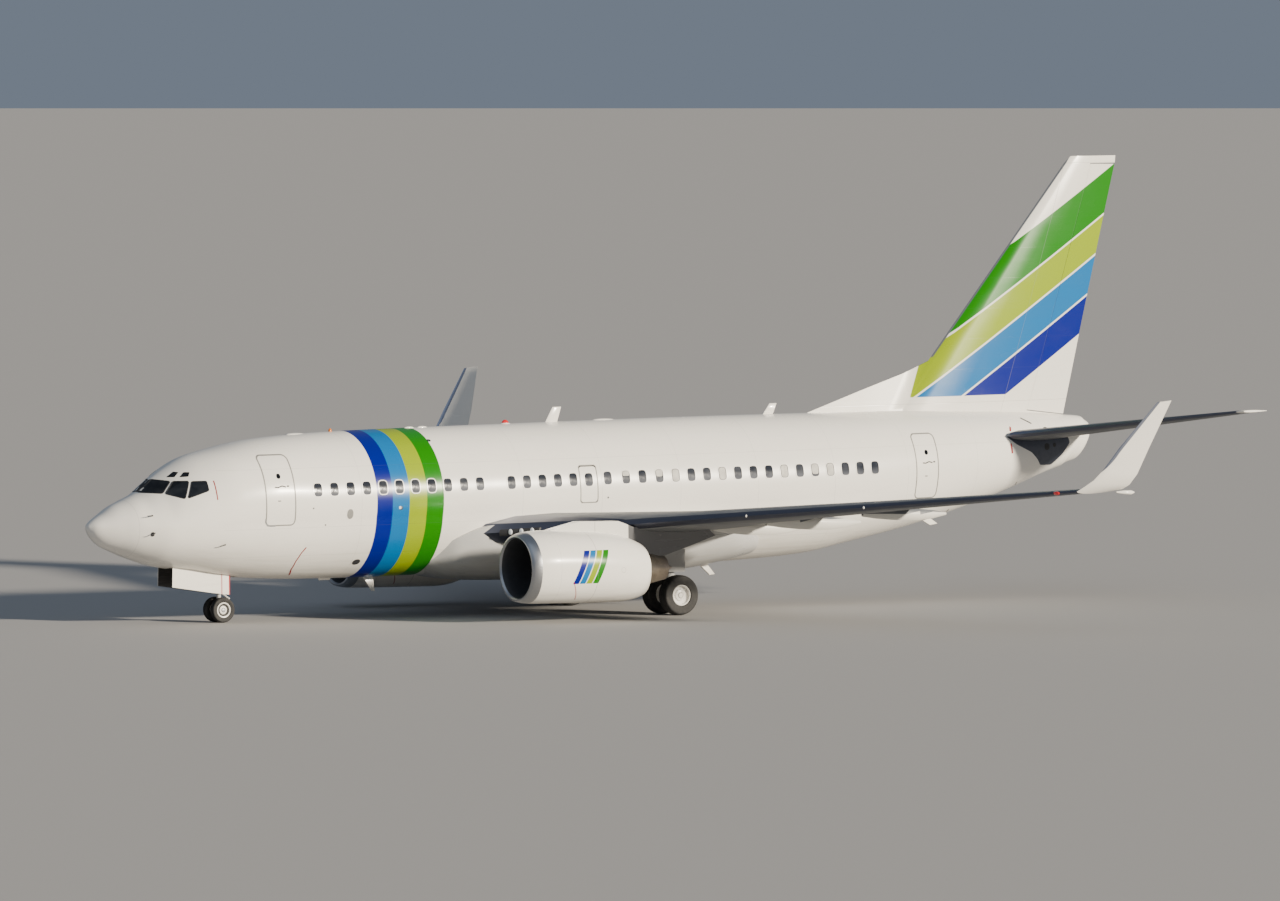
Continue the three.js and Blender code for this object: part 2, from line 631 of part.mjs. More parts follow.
// Nacelle sections: station, top, bottom, half width
const NACELLE = [
  [10490, 2430, 710, 865],
  [10550, 2488, 662, 925],
  [10750, 2545, 622, 990],
  [11310, 2575, 600, 1040],
  [12470, 2530, 575, 1050],
  [13580, 2405, 556, 985],
  [14080, 2240, 615, 890],
  [14280, 2155, 675, 825],
];
// Duct inside: station, radius, height of its centre
const INTAKE_DUCT = [
  [10480, 850, 1570],
  [10550, 808, 1575],
  [10700, 768, 1580],
  [10950, 750, 1580],
  [11350, 775, 1580],
  [12470, 775, 1580],
];
const BYPASS_DUCT = [
  [12460, 840, 1570],
  [13300, 812, 1540],
  [13880, 740, 1462],
  [14290, 685, 1422],
];
const NACELLE_SEAMS = { lip: 10750, sleeve: 12470 };
// Section of the cowl: how far its widest point lies over the middle, and the fullness of its lower half
const COWL = { raise: 60, lowerPower: 0.86 };
const ROUND = 24;

function nacelleRing([s, top, bottom, half], grow) {
  const middle = (top + bottom) / 2 + COWL.raise;
  const ring = [];
  for (let i = 0; i < ROUND; i += 1) {
    const angle = (2 * Math.PI * i) / ROUND;
    const [c, n] = [Math.cos(angle), Math.sin(angle)];
    const power = n < 0 ? COWL.lowerPower : 1;
    const y = Math.sign(c) * Math.abs(c) ** power * (half + grow);
    const z = Math.sign(n) * Math.abs(n) ** power * ((n < 0 ? middle - bottom : top - middle) + grow);
    ring.push(at(s, ENGINE.y + y, middle + z));
  }
  return ring;
}

function ductRing([s, radius, centre], grow) {
  const ring = [];
  for (let i = 0; i < ROUND; i += 1) {
    const angle = (2 * Math.PI * i) / ROUND;
    ring.push(at(s, ENGINE.y + (radius + grow) * Math.cos(angle), centre + (radius + grow) * Math.sin(angle)));
  }
  return ring;
}

function nacelleStretch(from, to, grow = 0, shift = 0) {
  const rows = NACELLE.filter((row) => row[0] >= from && row[0] <= to).map((row) => [...row]);
  rows[0][0] += shift;
  return loft(rows.map((row) => nacelleRing(row, grow)));
}

// Engine core: station, radius; its axis sinks by the core drop from the fan to the nozzle
const CORE = [
  [11780, 774.5],
  [12470, 774.5],
  [12900, 760],
  [13150, 640],
  [13800, 590],
  [14280, 510],
  [14800, 400],
];
const NOZZLE = [
  [14800, 400],
  [15150, 330],
];
const NOZZLE_HOLLOW = { wall: 25, floor: 60, over: 30 };
const PLUG = { end: 15430, radius: 265, tip: 20, sides: 20 };
const coreCentre = (s) => ENGINE.axis - ENGINE.coreDrop * THREE.MathUtils.smoothstep(s, 12470, NOZZLE[0][0]);

// Pylon: outline in station and height, half width
const PYLON = {
  outline: [[11450, 2300], [11450, 2560], [12420, 2775], [13650, 2750], [14140, 2570], [16350, 2600], [16750, 2250],
    [15900, 1985], [15150, 1775], [14600, 1700], [13300, 1700]],
  half: 165,
};

// Fan: blades around a disc, with its spinner and shaft; the hub's profile is radius and distance ahead
const FAN = { blades: 24, tip: 758, root: 160, chord: 180, thick: 14, stagger: 35, ahead: 15 };
const FAN_HUB = [[0, -70], [190, -70], [230, 100], [110, 330], [0, 445]];
const FAN_SHAFT = { radius: 90, from: -430, to: -40, bore: 200, fit: 0.8, sides: 32 };

function fanSolid() {
  const hub = new THREE.LatheGeometry(FAN_HUB.map(([r, h]) => new THREE.Vector2(r, h)), 18);
  hub.rotateZ(-Math.PI / 2);
  const shaft = rod(new THREE.Vector3(FAN_SHAFT.from, 0, 0), new THREE.Vector3(FAN_SHAFT.to, 0, 0),
    FAN_SHAFT.radius, FAN_SHAFT.radius, FAN_SHAFT.sides);
  let fan = solidOf(hub).add(shaft);
  for (let i = 0; i < FAN.blades; i += 1) {
    const blade = new THREE.BoxGeometry(FAN.chord, FAN.thick, FAN.tip - FAN.root);
    blade.rotateZ(THREE.MathUtils.degToRad(FAN.stagger));
    blade.translate(FAN.ahead, 0, (FAN.tip + FAN.root) / 2);
    blade.rotateX((2 * Math.PI * i) / FAN.blades);
    fan = fan.add(solidOf(blade));
  }
  return mainBody(fan).translate([-ENGINE.fanStation, ENGINE.y, ENGINE.axis]);
}

function coreSolid() {
  const rings = CORE.map(([s, radius]) => ductRing([s, radius, coreCentre(s)], -FIT / 2));
  const boreRadius = FAN_SHAFT.radius + FAN_SHAFT.fit;
  const bore = rod(at(CORE[0][0] - 50, ENGINE.y, ENGINE.axis), at(CORE[0][0] + FAN_SHAFT.bore, ENGINE.y, ENGINE.axis),
    boreRadius, boreRadius, FAN_SHAFT.sides);
  return loft(rings).subtract(bore);
}

// Exhaust nozzle: a short cone open behind, around a pointed plug
function nozzleSolid() {
  const [[from, wide], [to, narrow]] = NOZZLE;
  const start = from + FIT;
  const outer = loft([ductRing([start, wide, coreCentre(from)], 0), ductRing([to, narrow, coreCentre(to)], 0)]);
  const { wall, floor, over } = NOZZLE_HOLLOW;
  const inner = loft([
    ductRing([from + floor, wide - wall, coreCentre(from)], 0),
    ductRing([to + over, narrow - wall, coreCentre(to)], 0),
  ]);
  const plug = rod(at(start, ENGINE.y, coreCentre(from)), at(PLUG.end, ENGINE.y, coreCentre(to)),
    PLUG.radius, PLUG.tip, PLUG.sides);
  return outer.subtract(inner).add(plug);
}

// Section of a wheel: shares of the half width at its web, bead, shoulder and tread, share of the rim
// radius inside the bead, greatest depth of the shoulder and where the sidewall turns into the tread
const WHEEL = { web: 0.6, bead: 0.86, tread: 0.42, dish: 0.92, shoulder: 0.55, turn: 0.3, sides: 20 };

// Wheels, about the Y axis at the origin: tyre and rim of one wheel, then the pair on its axle
function wheelProfile(radius, width, rim) {
  const half = width / 2;
  const shoulder = Math.min(half * WHEEL.shoulder, radius - rim);
  const outward = [
    [0, half * WHEEL.web], [rim * WHEEL.dish, half * WHEEL.web], [rim, half * WHEEL.bead], [radius - shoulder, half],
    [radius - shoulder * WHEEL.turn, half * WHEEL.bead], [radius, half * WHEEL.tread],
  ];
  return [...outward.map(([r, h]) => [r, -h]), ...outward.reverse()];
}

function wheelPair({ tyreRadius, tyreWidth, spacing }, rim, axle) {
  const profile = wheelProfile(tyreRadius, tyreWidth, rim).map(([r, h]) => new THREE.Vector2(r, h));
  const wheel = solidOf(new THREE.LatheGeometry(profile, WHEEL.sides));
  const [inner, outer] = [-spacing / 2, spacing / 2].map((y) => new THREE.Vector3(0, y, 0));
  const bar = rod(inner, outer, axle, axle, WHEEL.sides);
  return wheel.translate([0, spacing / 2, 0]).add(wheel.translate([0, -spacing / 2, 0])).add(bar);
}

const MAIN_RIM = 285;
const NOSE_RIM = 200;
const MAIN_AXLE = 60;
const NOSE_AXLE = 32;
const AXLE_FIT = 1;

// Bars of a leg: both ends in distance aft of the leg, to port of it and height, and both radii
const MAIN_BARS = [
  { bar: "upper torque link", from: [100, 0, 1080], to: [330, 0, 850], radii: [45, 40] },
  { bar: "lower torque link", from: [330, 0, 860], to: [70, 0, 600], radii: [40, 45] },
  { bar: "link pin", from: [330, -70, 855], to: [330, 70, 855], radii: [36, 36] },
  { bar: "side brace", from: [0, 0, 1290], to: [0, -950, 1800], radii: [55, 55] },
];
const NOSE_BARS = [
  { bar: "upper torque link", from: [80, 0, 960], to: [300, 0, 790], radii: [30, 26] },
  { bar: "lower torque link", from: [300, 0, 795], to: [40, 0, NOSE_GEAR.hub + 40], radii: [26, 30] },
  { bar: "link pin", from: [300, -45, 792], to: [300, 45, 792], radii: [24, 24] },
];
const BAR_SIDES = 10;

const withBars = (leg, bars, s, y) => bars.reduce((sum, { from, to, radii }) => sum.add(
  rod(at(s + from[0], y + from[1], from[2]), at(s + to[0], y + to[1], to[2]), radii[0], radii[1], BAR_SIDES)), leg);

// Main leg, port side: cylinder over a piston with an axle housing; the lap is how far they overlap
const MAIN_LEG = { radius: 125, piston: 85, cylinderFoot: 960, top: 2010, lap: 60, housing: 100, housingHalf: 170 };
const TRUNNION = { ahead: 260, behind: 300, half: 110, depth: 190 };
const JACK_PAD = { half: 60, below: 30, above: 20 };
const HOUSING_SIDES = 20;

// Block about the trunnion at the top of the leg, grown by a gap at its sides and top.
const trunnionBlock = (gap, low) => block(
  MAIN_GEAR.s - TRUNNION.ahead - gap, MAIN_GEAR.s + TRUNNION.behind + gap,
  MAIN_GEAR.y - TRUNNION.half - gap, MAIN_GEAR.y + TRUNNION.half + gap, low, MAIN_LEG.top + gap);

// Rod across the aircraft, centred at a station, a distance to port and a height.
const crossRod = (s, y, z, half, radius, sides) => rod(at(s, y - half, z), at(s, y + half, z), radius, radius, sides);

function mainLeg() {
  const { s, y, tyreRadius: hub } = MAIN_GEAR;
  const { cylinderFoot, top, lap, housing, housingHalf } = MAIN_LEG;
  let leg = rod(at(s, y, cylinderFoot), at(s, y, top - lap), MAIN_LEG.radius)
    .add(rod(at(s, y, hub), at(s, y, cylinderFoot + lap), MAIN_LEG.piston))
    .add(crossRod(s, y, hub, housingHalf, housing, HOUSING_SIDES))
    .add(trunnionBlock(0, top - TRUNNION.depth));
  leg = withBars(leg, MAIN_BARS, s, y);
  leg = leg.subtract(crossRod(s, y, hub, 1.5 * housingHalf, MAIN_AXLE + AXLE_FIT, HOUSING_SIDES));
  const pad = JACK_PAD;
  const foot = hub - housing;
  return leg.add(block(s - pad.half, s + pad.half, y - pad.half, y + pad.half, foot - pad.below, foot + pad.above));
}

// Plate fixed to the outboard side of the main leg by two round lugs
const LEG_DOOR = { from: -330, to: 330, inner: 235, thick: 28, low: 1180, high: 1800 };
const LUG = { heights: [1330, 1650], radius: 40, bite: 5, sides: 10 };

function legDoor() {
  const { s, y } = MAIN_GEAR;
  const outer = LEG_DOOR.inner + LEG_DOOR.thick;
  const plate = block(s + LEG_DOOR.from, s + LEG_DOOR.to, y + LEG_DOOR.inner, y + outer, LEG_DOOR.low, LEG_DOOR.high);
  return LUG.heights.reduce((sum, z) => sum.add(rod(at(s, y + MAIN_LEG.radius + FIT, z),
    at(s, y + LEG_DOOR.inner + LUG.bite, z), LUG.radius, LUG.radius, LUG.sides)), plate);
}

// Nose leg: fixed cylinder with a drag brace and a trunnion bar, and the part that steers inside it
const NOSE_LEG = {
  radius: 88, piston: 62, pistonTop: 1390, boreTop: 1400, boreFit: 0.8, foot: 1010, top: NOSE_BAY.roof - FIT,
  housing: 62, housingHalf: 88, collar: 105, collarDepth: 90,
};
const DRAG_BRACE = { low: 1500, high: 1900, radius: 42, sides: 10 };
const NOSE_TRUNNION = { z: 1700, half: 200, radius: 50, sides: 12 };
const TOW_LUG = { from: -125, to: -40, half: 30 };

function noseCylinder() {
  const { s } = NOSE_GEAR;
  const { radius, foot, top, piston, boreFit, boreTop } = NOSE_LEG;
  const back = NOSE_BAY.back - FIT;
  const brace = rod(at(s, 0, DRAG_BRACE.low), at(back, 0, DRAG_BRACE.high), DRAG_BRACE.radius, DRAG_BRACE.radius,
    DRAG_BRACE.sides);
  const leg = rod(at(s, 0, foot), at(s, 0, top), radius, radius, HOUSING_SIDES)
    .add(brace.intersect(block(s, back, -radius, radius, foot, top)))
    .add(crossRod(s, 0, NOSE_TRUNNION.z, NOSE_TRUNNION.half, NOSE_TRUNNION.radius, NOSE_TRUNNION.sides));
  return leg.subtract(rod(at(s, 0, WELL_FLOOR), at(s, 0, boreTop), piston + boreFit, piston + boreFit, HOUSING_SIDES));
}

function noseSteering() {
  const { s, hub } = NOSE_GEAR;
  const { piston, pistonTop, housing, housingHalf, foot, collar, collarDepth } = NOSE_LEG;
  let leg = rod(at(s, 0, hub), at(s, 0, pistonTop), piston, piston, HOUSING_SIDES)
    .add(crossRod(s, 0, hub, housingHalf, housing, HOUSING_SIDES))
    .add(rod(at(s, 0, foot - collarDepth), at(s, 0, foot - FIT), collar, collar, HOUSING_SIDES));
  leg = withBars(leg, NOSE_BARS, s, 0);
  const { from, to, half } = TOW_LUG;
  leg = leg.add(block(s + from, s + to, -half, half, hub - half, hub + half));
  return leg.subtract(crossRod(s, 0, hub, 1.5 * housingHalf, NOSE_AXLE + AXLE_FIT, HOUSING_SIDES));
}

// Nose gear doors: outline in station and height, hanging from the sides of the bay
const NOSE_DOOR = {
  outline: [[2380, 1180], [2400, 1800], [4160, 1700], [4150, 915], [3600, 985]],
  inner: 385,
  thick: 28,
};

function noseDoor(bodyGrown) {
  return mainBody(sidePrism(NOSE_DOOR.outline, NOSE_DOOR.inner, NOSE_DOOR.inner + NOSE_DOOR.thick).subtract(bodyGrown));
}

// Assembly
const bodyGrown = wholeBody(SKIN_FIT);
const fairingGrown = bellyFairing(SKIN_FIT);
const wells = bothSides(mainWell);

let fuselage = bodyStretch(RADOME_SEAM, TAIL_CONE_SEAM);
const radome = bodyStretch(0, RADOME_SEAM, 0, 0, -FIT);
// Exhaust of the auxiliary power unit, in the end of the tail cone
const TAIL_EXHAUST = { from: 31700, to: 32500, z: 4190, radius: 170, sides: 20 };
const tailHole = rod(at(TAIL_EXHAUST.from, 0, TAIL_EXHAUST.z), at(TAIL_EXHAUST.to, 0, TAIL_EXHAUST.z),
  TAIL_EXHAUST.radius, TAIL_EXHAUST.radius, TAIL_EXHAUST.sides);
const tailCone = bodyStretch(TAIL_CONE_SEAM, BEYOND, 0, FIT, 0).subtract(tailHole);

const pieces = [];
const addPiece = (name, solid, material, parent) => pieces.push({ name, solid: mainBody(solid), material, parent });

// Stabilisers, carved clear of the body at every trim
const bodyForTrim = wholeBody(RUNNING_GAP);
let stabiliser = stabiliserSolid();
for (const trim of STABILISER_TRIM) {
  stabiliser = stabiliser.subtract(turnedAboutPivot(bodyForTrim, trim));
}
const { surface: elevator, carrier: tailPlane } = partElevator(mainBody(stabiliser));
const pivotShaft = (grow) => {
  const { s, z, radius, sides, inner, outer } = STABILISER_PIVOT;
  return rod(at(s, inner - grow, z), at(s, outer, z), radius + grow, radius + grow, sides);
};
fuselage = fuselage.subtract(bothSides(pivotShaft(STABILISER_PIVOT.fit)));
const stabiliserPort = tailPlane.add(pivotShaft(0));

// Fin and rudder
const { surface: rudder, carrier: finCarrier } = partRudder(finSolid());
const fin = mainBody(finCarrier.subtract(bodyGrown));

// Wing and what hangs on it
const wingGrown = wingSolid(SKIN_FIT);
const trunnionPocket = trunnionBlock(FIT, MAIN_LEG.cylinderFoot);
let wing = wingSolid(0).subtract(bodyGrown).subtract(fairingGrown);
wing = mainBody(wing);
const flapPieces = [];
for (const flap of FLAPS) {
  flapPieces.push({ name: flap.name, solid: wing.intersect(flapPrism(flap, 0)) });
  wing = mainBody(wing.subtract(flapPrism(flap, FIT)));
}
const aileronParts = partAileron(wing);
wing = aileronParts.carrier;
for (const row of TRACK_FAIRINGS) {
  let canoe = trackFairing(row);
  for (const flap of FLAPS) {
    canoe = canoe.subtract(wingGrown.intersect(flapPrism(flap, FIT)));
  }
  wing = wing.add(canoe);
}
wing = wing.subtract(trunnionPocket);
const TIP = WINGLET[0][0];
const winglet = wingletSolid().subtract(block(0, BEYOND, 0, TIP + FIT, 0, BEYOND));

// Fairing, with the wells and the slots of the legs
const fairing = bellyFairing(0).subtract(bodyGrown).subtract(wells);
fuselage = fuselage.subtract(wells).subtract(noseBay);

// Leg, cut to the wing and the fairing that carry it
const leg = mainBody(mainLeg().subtract(fairingGrown).subtract(bodyGrown));

// Nacelle pieces
const intake = loft(INTAKE_DUCT.map((row) => ductRing(row, 0)));
const bypass = loft(BYPASS_DUCT.map((row) => ductRing(row, 0)));
const nacelleGrown = loft(NACELLE.map((row) => nacelleRing(row, FIT)));
const core = coreSolid();
const nozzle = nozzleSolid();
const pylonShape = sidePrism(PYLON.outline, ENGINE.y - PYLON.half, ENGINE.y + PYLON.half);
const lip = nacelleStretch(0, NACELLE_SEAMS.lip).subtract(intake);
const fanCowl = nacelleStretch(NACELLE_SEAMS.lip, NACELLE_SEAMS.sleeve, 0, FIT).subtract(intake);
const sleeve = nacelleStretch(NACELLE_SEAMS.sleeve, BEYOND, 0, FIT).subtract(bypass);
const coreGrown = loft(CORE.map(([s, radius]) => ductRing([s, radius + FIT, coreCentre(s)], 0)));
const nozzleGrown = loft(NOZZLE.map(([s, radius], row) => ductRing([s + row, radius + 1, coreCentre(s)], 0)));
const pylonAbove = mainBody(pylonShape.subtract(nacelleGrown).subtract(wingGrown).subtract(coreGrown).subtract(nozzleGrown));

addPiece("radome", radome, MATERIAL.white());
addPiece("tail_cone", tailCone, MATERIAL.white());
for (const door of DOORS) {
  addPiece(door.name, fuselage.intersect(doorPrism(door, 0, DOOR_DEPTH)), MATERIAL.white());
  fuselage = fuselage.subtract(doorPrism(door, FIT, DOOR_DEPTH + FIT));
}
for (const [side, label] of [[1, "left"], [-1, "right"]]) {
  for (const { name, corners } of PANES) {
    const pane = panePrism(corners, 0, PANE_DEPTH);
    const hole = panePrism(corners, FIT, PANE_DEPTH + FIT);
    const [piece, room] = side > 0 ? [pane, hole] : [mirrored(pane), mirrored(hole)];
    addPiece(`${name}_${label}`, fuselage.intersect(piece), MATERIAL.glass());
    fuselage = fuselage.subtract(room);
  }
}

// Overwing exits, hinged along their upper edge
for (const [side, label] of [[1, "left"], [-1, "right"]]) {
  const { s, z, corner, thick, hingeInset, topGap } = OVERWING_EXIT;
  const exit = { s, z, side, corner };
  const tall = { s, z: [z[0], z[1] + topGap - RUNNING_GAP], side, corner };
  const hingeY = side * (sideAt([s[0], s[1]], [z[1], z[1]]) - hingeInset);
  const hingeZ = z[1] - hingeInset;
  const pin = (station, reach, grow) => rod(at(station - reach, hingeY, hingeZ), at(station + reach, hingeY, hingeZ),
    EXIT_PIN.radius + grow, EXIT_PIN.radius + grow, EXIT_PIN.sides);
  let panel = fuselage.intersect(doorPrism(exit, 0, thick));
  fuselage = fuselage.subtract(doorPrism(tall, RUNNING_GAP, thick + RUNNING_GAP));
  for (const end of s) {
    fuselage = fuselage.add(pin(end, EXIT_PIN.reach, 0));
    panel = panel.subtract(pin(end, EXIT_PIN.reach + 1, EXIT_PIN.fit));
  }
  addPiece(`overwing_exit_${label}`, panel, MATERIAL.white());
}
addPiece("fuselage", fuselage, MATERIAL.white());
addPiece("belly_fairing", fairing, MATERIAL.white());
addPiece("fin", fin, MATERIAL.white());
addPiece("rudder", rudder, MATERIAL.green());
addPiece("nose_leg", noseCylinder(), MATERIAL.steel());
addPiece("nose_steering", noseSteering(), MATERIAL.steel());
addPiece("nose_wheels", wheelPair(NOSE_GEAR, NOSE_RIM, NOSE_AXLE).translate([-NOSE_GEAR.s, 0, NOSE_GEAR.hub]),
  MATERIAL.tyre());

const SIDED = [
  ["wing", wing, MATERIAL.grey],
  ["winglet", winglet, MATERIAL.white],
  ["aileron", aileronParts.surface, MATERIAL.grey],
  ...flapPieces.map(({ name, solid }) => [name, solid, MATERIAL.grey]),
  ["stabiliser", stabiliserPort, MATERIAL.grey],
  ["elevator", elevator, MATERIAL.grey],
  ["pylon", pylonAbove, MATERIAL.white],
  ["intake_lip", lip, MATERIAL.polished],
  ["fan_cowl", fanCowl, MATERIAL.white],
  ["thrust_sleeve", sleeve, MATERIAL.white],
  ["engine_core", core, MATERIAL.dark],
  ["exhaust_nozzle", nozzle, MATERIAL.titanium],
  ["fan", fanSolid(), MATERIAL.steel],
  ["main_leg", leg, MATERIAL.steel],
  ["main_leg_door", legDoor(), MATERIAL.white],
  ["main_wheels", wheelPair(MAIN_GEAR, MAIN_RIM, MAIN_AXLE).translate([-MAIN_GEAR.s, MAIN_GEAR.y, MAIN_GEAR.tyreRadius]),
    MATERIAL.tyre],
  ["nose_door", noseDoor(bodyGrown), MATERIAL.white],
];
for (const [name, solid, material] of SIDED) {
  addPiece(`${name}_left`, solid, material());
  addPiece(`${name}_right`, mirrored(solid), material());
}

// Scene graph: the airframe leans nose down about the main wheels' footprint, and the origin lies
// under the middle of the whole.
const airframe = new THREE.Group();
for (const { name, solid, material } of pieces) {
  const { vertProperties, triVerts } = solid.getMesh();
  const geometry = new THREE.BufferGeometry();
  geometry.setAttribute("position", new THREE.BufferAttribute(new Float32Array(vertProperties), 3));
  geometry.setIndex(new THREE.BufferAttribute(new Uint32Array(triVerts), 1));
  geometry.computeVertexNormals();
  const mesh = new THREE.Mesh(geometry, material);
  mesh.name = name;
  airframe.add(mesh);
}
airframe.position.set(MAIN_GEAR.s, 0, 0);

const leaning = new THREE.Group();
leaning.rotation.y = NOSE_DOWN;
leaning.add(airframe);

const airliner = new THREE.Group();
airliner.name = "airliner";
airliner.add(leaning);
airliner.updateMatrixWorld(true);
const box = new THREE.Box3().setFromObject(airliner, true);
leaning.position.set(-(box.min.x + box.max.x) / 2, 0, -box.min.z);

export default airliner;
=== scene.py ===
import math

import bpy
import numpy as np
from mathutils import Matrix, Vector


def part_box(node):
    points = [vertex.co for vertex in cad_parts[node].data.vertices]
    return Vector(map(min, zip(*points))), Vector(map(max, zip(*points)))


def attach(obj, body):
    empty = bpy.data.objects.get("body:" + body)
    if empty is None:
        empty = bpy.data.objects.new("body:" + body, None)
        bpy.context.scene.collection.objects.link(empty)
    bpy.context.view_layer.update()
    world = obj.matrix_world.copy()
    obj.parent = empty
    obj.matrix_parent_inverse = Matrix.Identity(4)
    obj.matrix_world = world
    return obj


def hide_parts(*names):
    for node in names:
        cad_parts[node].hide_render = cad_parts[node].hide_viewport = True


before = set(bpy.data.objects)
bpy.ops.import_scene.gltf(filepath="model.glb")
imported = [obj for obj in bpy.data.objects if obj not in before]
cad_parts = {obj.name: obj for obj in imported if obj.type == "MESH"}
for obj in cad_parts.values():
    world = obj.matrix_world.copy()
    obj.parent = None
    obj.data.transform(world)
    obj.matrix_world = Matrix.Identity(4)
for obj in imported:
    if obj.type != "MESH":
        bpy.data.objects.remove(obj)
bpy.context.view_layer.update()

LEAN = math.radians(0.7)
COS, SIN = math.cos(LEAN), math.sin(LEAN)
AXLE = sum(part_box("main_wheels_left"), Vector()) / 2
AXLE_S, AXLE_Z = 16.61, 0.5525
NOSE_S = 4.03
NOSE_TYRE = 0.343
NOSE_Z = (AXLE_S - NOSE_S) * math.tan(LEAN) + NOSE_TYRE
SIDES = ((1, "left"), (-1, "right"))


def place(s, y, z):
    """Points of the row's frame from station, distance to port and height: a turn about the main axle."""
    s, y, z = np.broadcast_arrays(*(np.asarray(v, float) for v in (s, y, z)))
    ahead, above = AXLE_S - s, z - AXLE_Z
    return np.stack([AXLE.x + ahead * COS + above * SIN, y, AXLE.z - ahead * SIN + above * COS], -1)


# ---------------------------------------------------------------- meshes

def grid_faces(rows, columns, wrap=False):
    """Quads of a grid of rows x columns points, numbered row by row; wrap joins the last column to the first."""
    r = np.arange(rows - 1)[:, None] * columns
    c = np.arange(columns if wrap else columns - 1)[None, :]
    n = (c + 1) % columns
    return np.stack([r + c, r + n, r + columns + n, r + columns + c], -1).reshape(-1, 4)


def signed_volume(points, faces):
    """Six times the volume inside quads and triangles, which is negative if they face inwards."""
    total = 0.0
    for face in faces:
        corners = points[np.asarray(face)]
        for k in range(1, corners.shape[-2] - 1):
            total += np.einsum("...i,...i", corners[..., 0, :],
                               np.cross(corners[..., k, :], corners[..., k + 1, :])).sum()
    return total


def turn(steps):
    """Angles of one turn in equal steps."""
    return np.linspace(0, 2 * np.pi, steps, endpoint=False)


def new_mesh(name, points, faces):
    mesh = bpy.data.meshes.new(name)
    mesh.from_pydata(points.tolist(), [], faces)
    mesh.update()
    return mesh


def new_object(name, data):
    """An object of the scene at the origin, from a mesh, light or camera."""
    made = bpy.data.objects.new(name, data)
    bpy.context.scene.collection.objects.link(made)
    return made


class Shape:
    """Gathers points and faces of one piece and makes it a mesh object."""

    def __init__(self):
        self.points, self.faces, self.looks, self.count = [], [], [], 0

    def add(self, points, *faces, outward=None, look=0):
        """Adds points with arrays or lists of faces; a closed part is turned to face outwards by its volume,
        an open one so that the mean normal of its faces points along outward. look is the number of the
        finish, for all its faces or for each."""
        points = np.asarray(points, float).reshape(-1, 3)
        if outward is None:
            flip = signed_volume(points - points.mean(0), faces) < 0
        else:
            quad = points[faces[0]]
            flip = np.cross(quad[:, 1] - quad[:, 0], quad[:, 2] - quad[:, 0]).sum(0) @ outward < 0
        for group in faces:
            group = np.asarray(group) + self.count
            self.faces += (group[:, ::-1] if flip else group).tolist()
        total = sum(len(group) for group in faces)
        self.looks += np.broadcast_to(np.asarray(look, int), total).tolist()
        self.points.append(points)
        self.count += len(points)
        return self

    def loft(self, rings):
        """Closes a stack of rings (rings x points x 3) into a solid, each end with one flat face."""
        n, m = rings.shape[:2]
        last = np.arange(m)[None]
        return self.add(rings, grid_faces(n, m, True), last[:, ::-1], last + (n - 1) * m)

    def sheet(self, rings, outward):
        """A plate open behind: rings from its edge to its middle, the last one filled."""
        n, m = rings.shape[:2]
        return self.add(rings, grid_faces(n, m, True), (np.arange(m) + (n - 1) * m)[None], outward=outward)

    def torus(self, rings, looks=None):
        """A stack of rings whose last ring joins the first, as round a wheel or a cowl; looks is one a ring."""
        n, m = rings.shape[:2]
        faces = grid_faces(n + 1, m, True)
        faces[-m:][faces[-m:] >= n * m] -= n * m
        return self.add(rings, faces, look=0 if looks is None else np.repeat(looks, m))

    def mesh(self, name):
        return new_mesh(name, np.concatenate(self.points), self.faces)

    def make(self, name, finish, body, smooth=35, **dress):
        return dress_mesh(self.mesh(name), name, finish, body, smooth, looks=self.looks, **dress)


def dress_mesh(mesh, name, finish, body, smooth, slot=None, also=(), replaces=(), looks=None):
    """Makes a mesh a piece that rides on its body, with its finishes, soft below an angle between faces."""
    for each in (finish, *also):
        mesh.materials.append(each.material)
    if also:
        mesh.polygons.foreach_set("material_index", np.asarray(looks, np.int32))
    shade(mesh, smooth)
    piece = new_object(name, mesh)
    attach(piece, body)
    if replaces:
        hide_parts(*replaces)
    return piece


def shade(mesh, angle):
    mesh.shade_smooth()
    mesh.set_sharp_from_angle(angle=math.radians(angle))


def cutter(rings, finish=None):
    """A closed tool for carve(), in a stack of rings."""
    mesh = Shape().loft(rings).mesh("tool")
    if finish:
        mesh.materials.append(finish.material)
    return new_object("tool", mesh)


def carve(piece, tools, operation="DIFFERENCE"):
    """Cuts a closed piece with closed tools, which are used up."""
    for tool in tools:
        cut = piece.modifiers.new("cut", "BOOLEAN")
        cut.object, cut.operation, cut.solver = tool, operation, "EXACT"
        cut.material_mode = "TRANSFER"
    bpy.context.view_layer.update()
    result = bpy.data.meshes.new_from_object(piece.evaluated_get(bpy.context.evaluated_depsgraph_get()))
    piece.modifiers.clear()
    piece.data = result
    shade(result, 28)
    for tool in tools:
        bpy.data.objects.remove(tool)


def block_rings(s0, s1, y0, y1, z0, z1):
    """Two rings of four corners: a block between two stations."""
    ring = [(y0, z0), (y1, z0), (y1, z1), (y0, z1)]
    return np.stack([place(s, *np.array(ring).T) for s in (s0, s1)])


def rod_rings(start, end, radius, sides=32):
    """Circles about the line from start to end (s, y, z each), in the row's frame."""
    a, b = place(*start), place(*end)
    along = (b - a) / np.linalg.norm(b - a)
    side = np.cross(along, (0, 0, 1) if abs(along[2]) < 0.9 else (0, 1, 0))
    side /= np.linalg.norm(side)
    angle = turn(sides)[:, None]
    circle = radius * (np.cos(angle) * side + np.sin(angle) * np.cross(along, side))
    return np.stack([a + circle, b + circle])


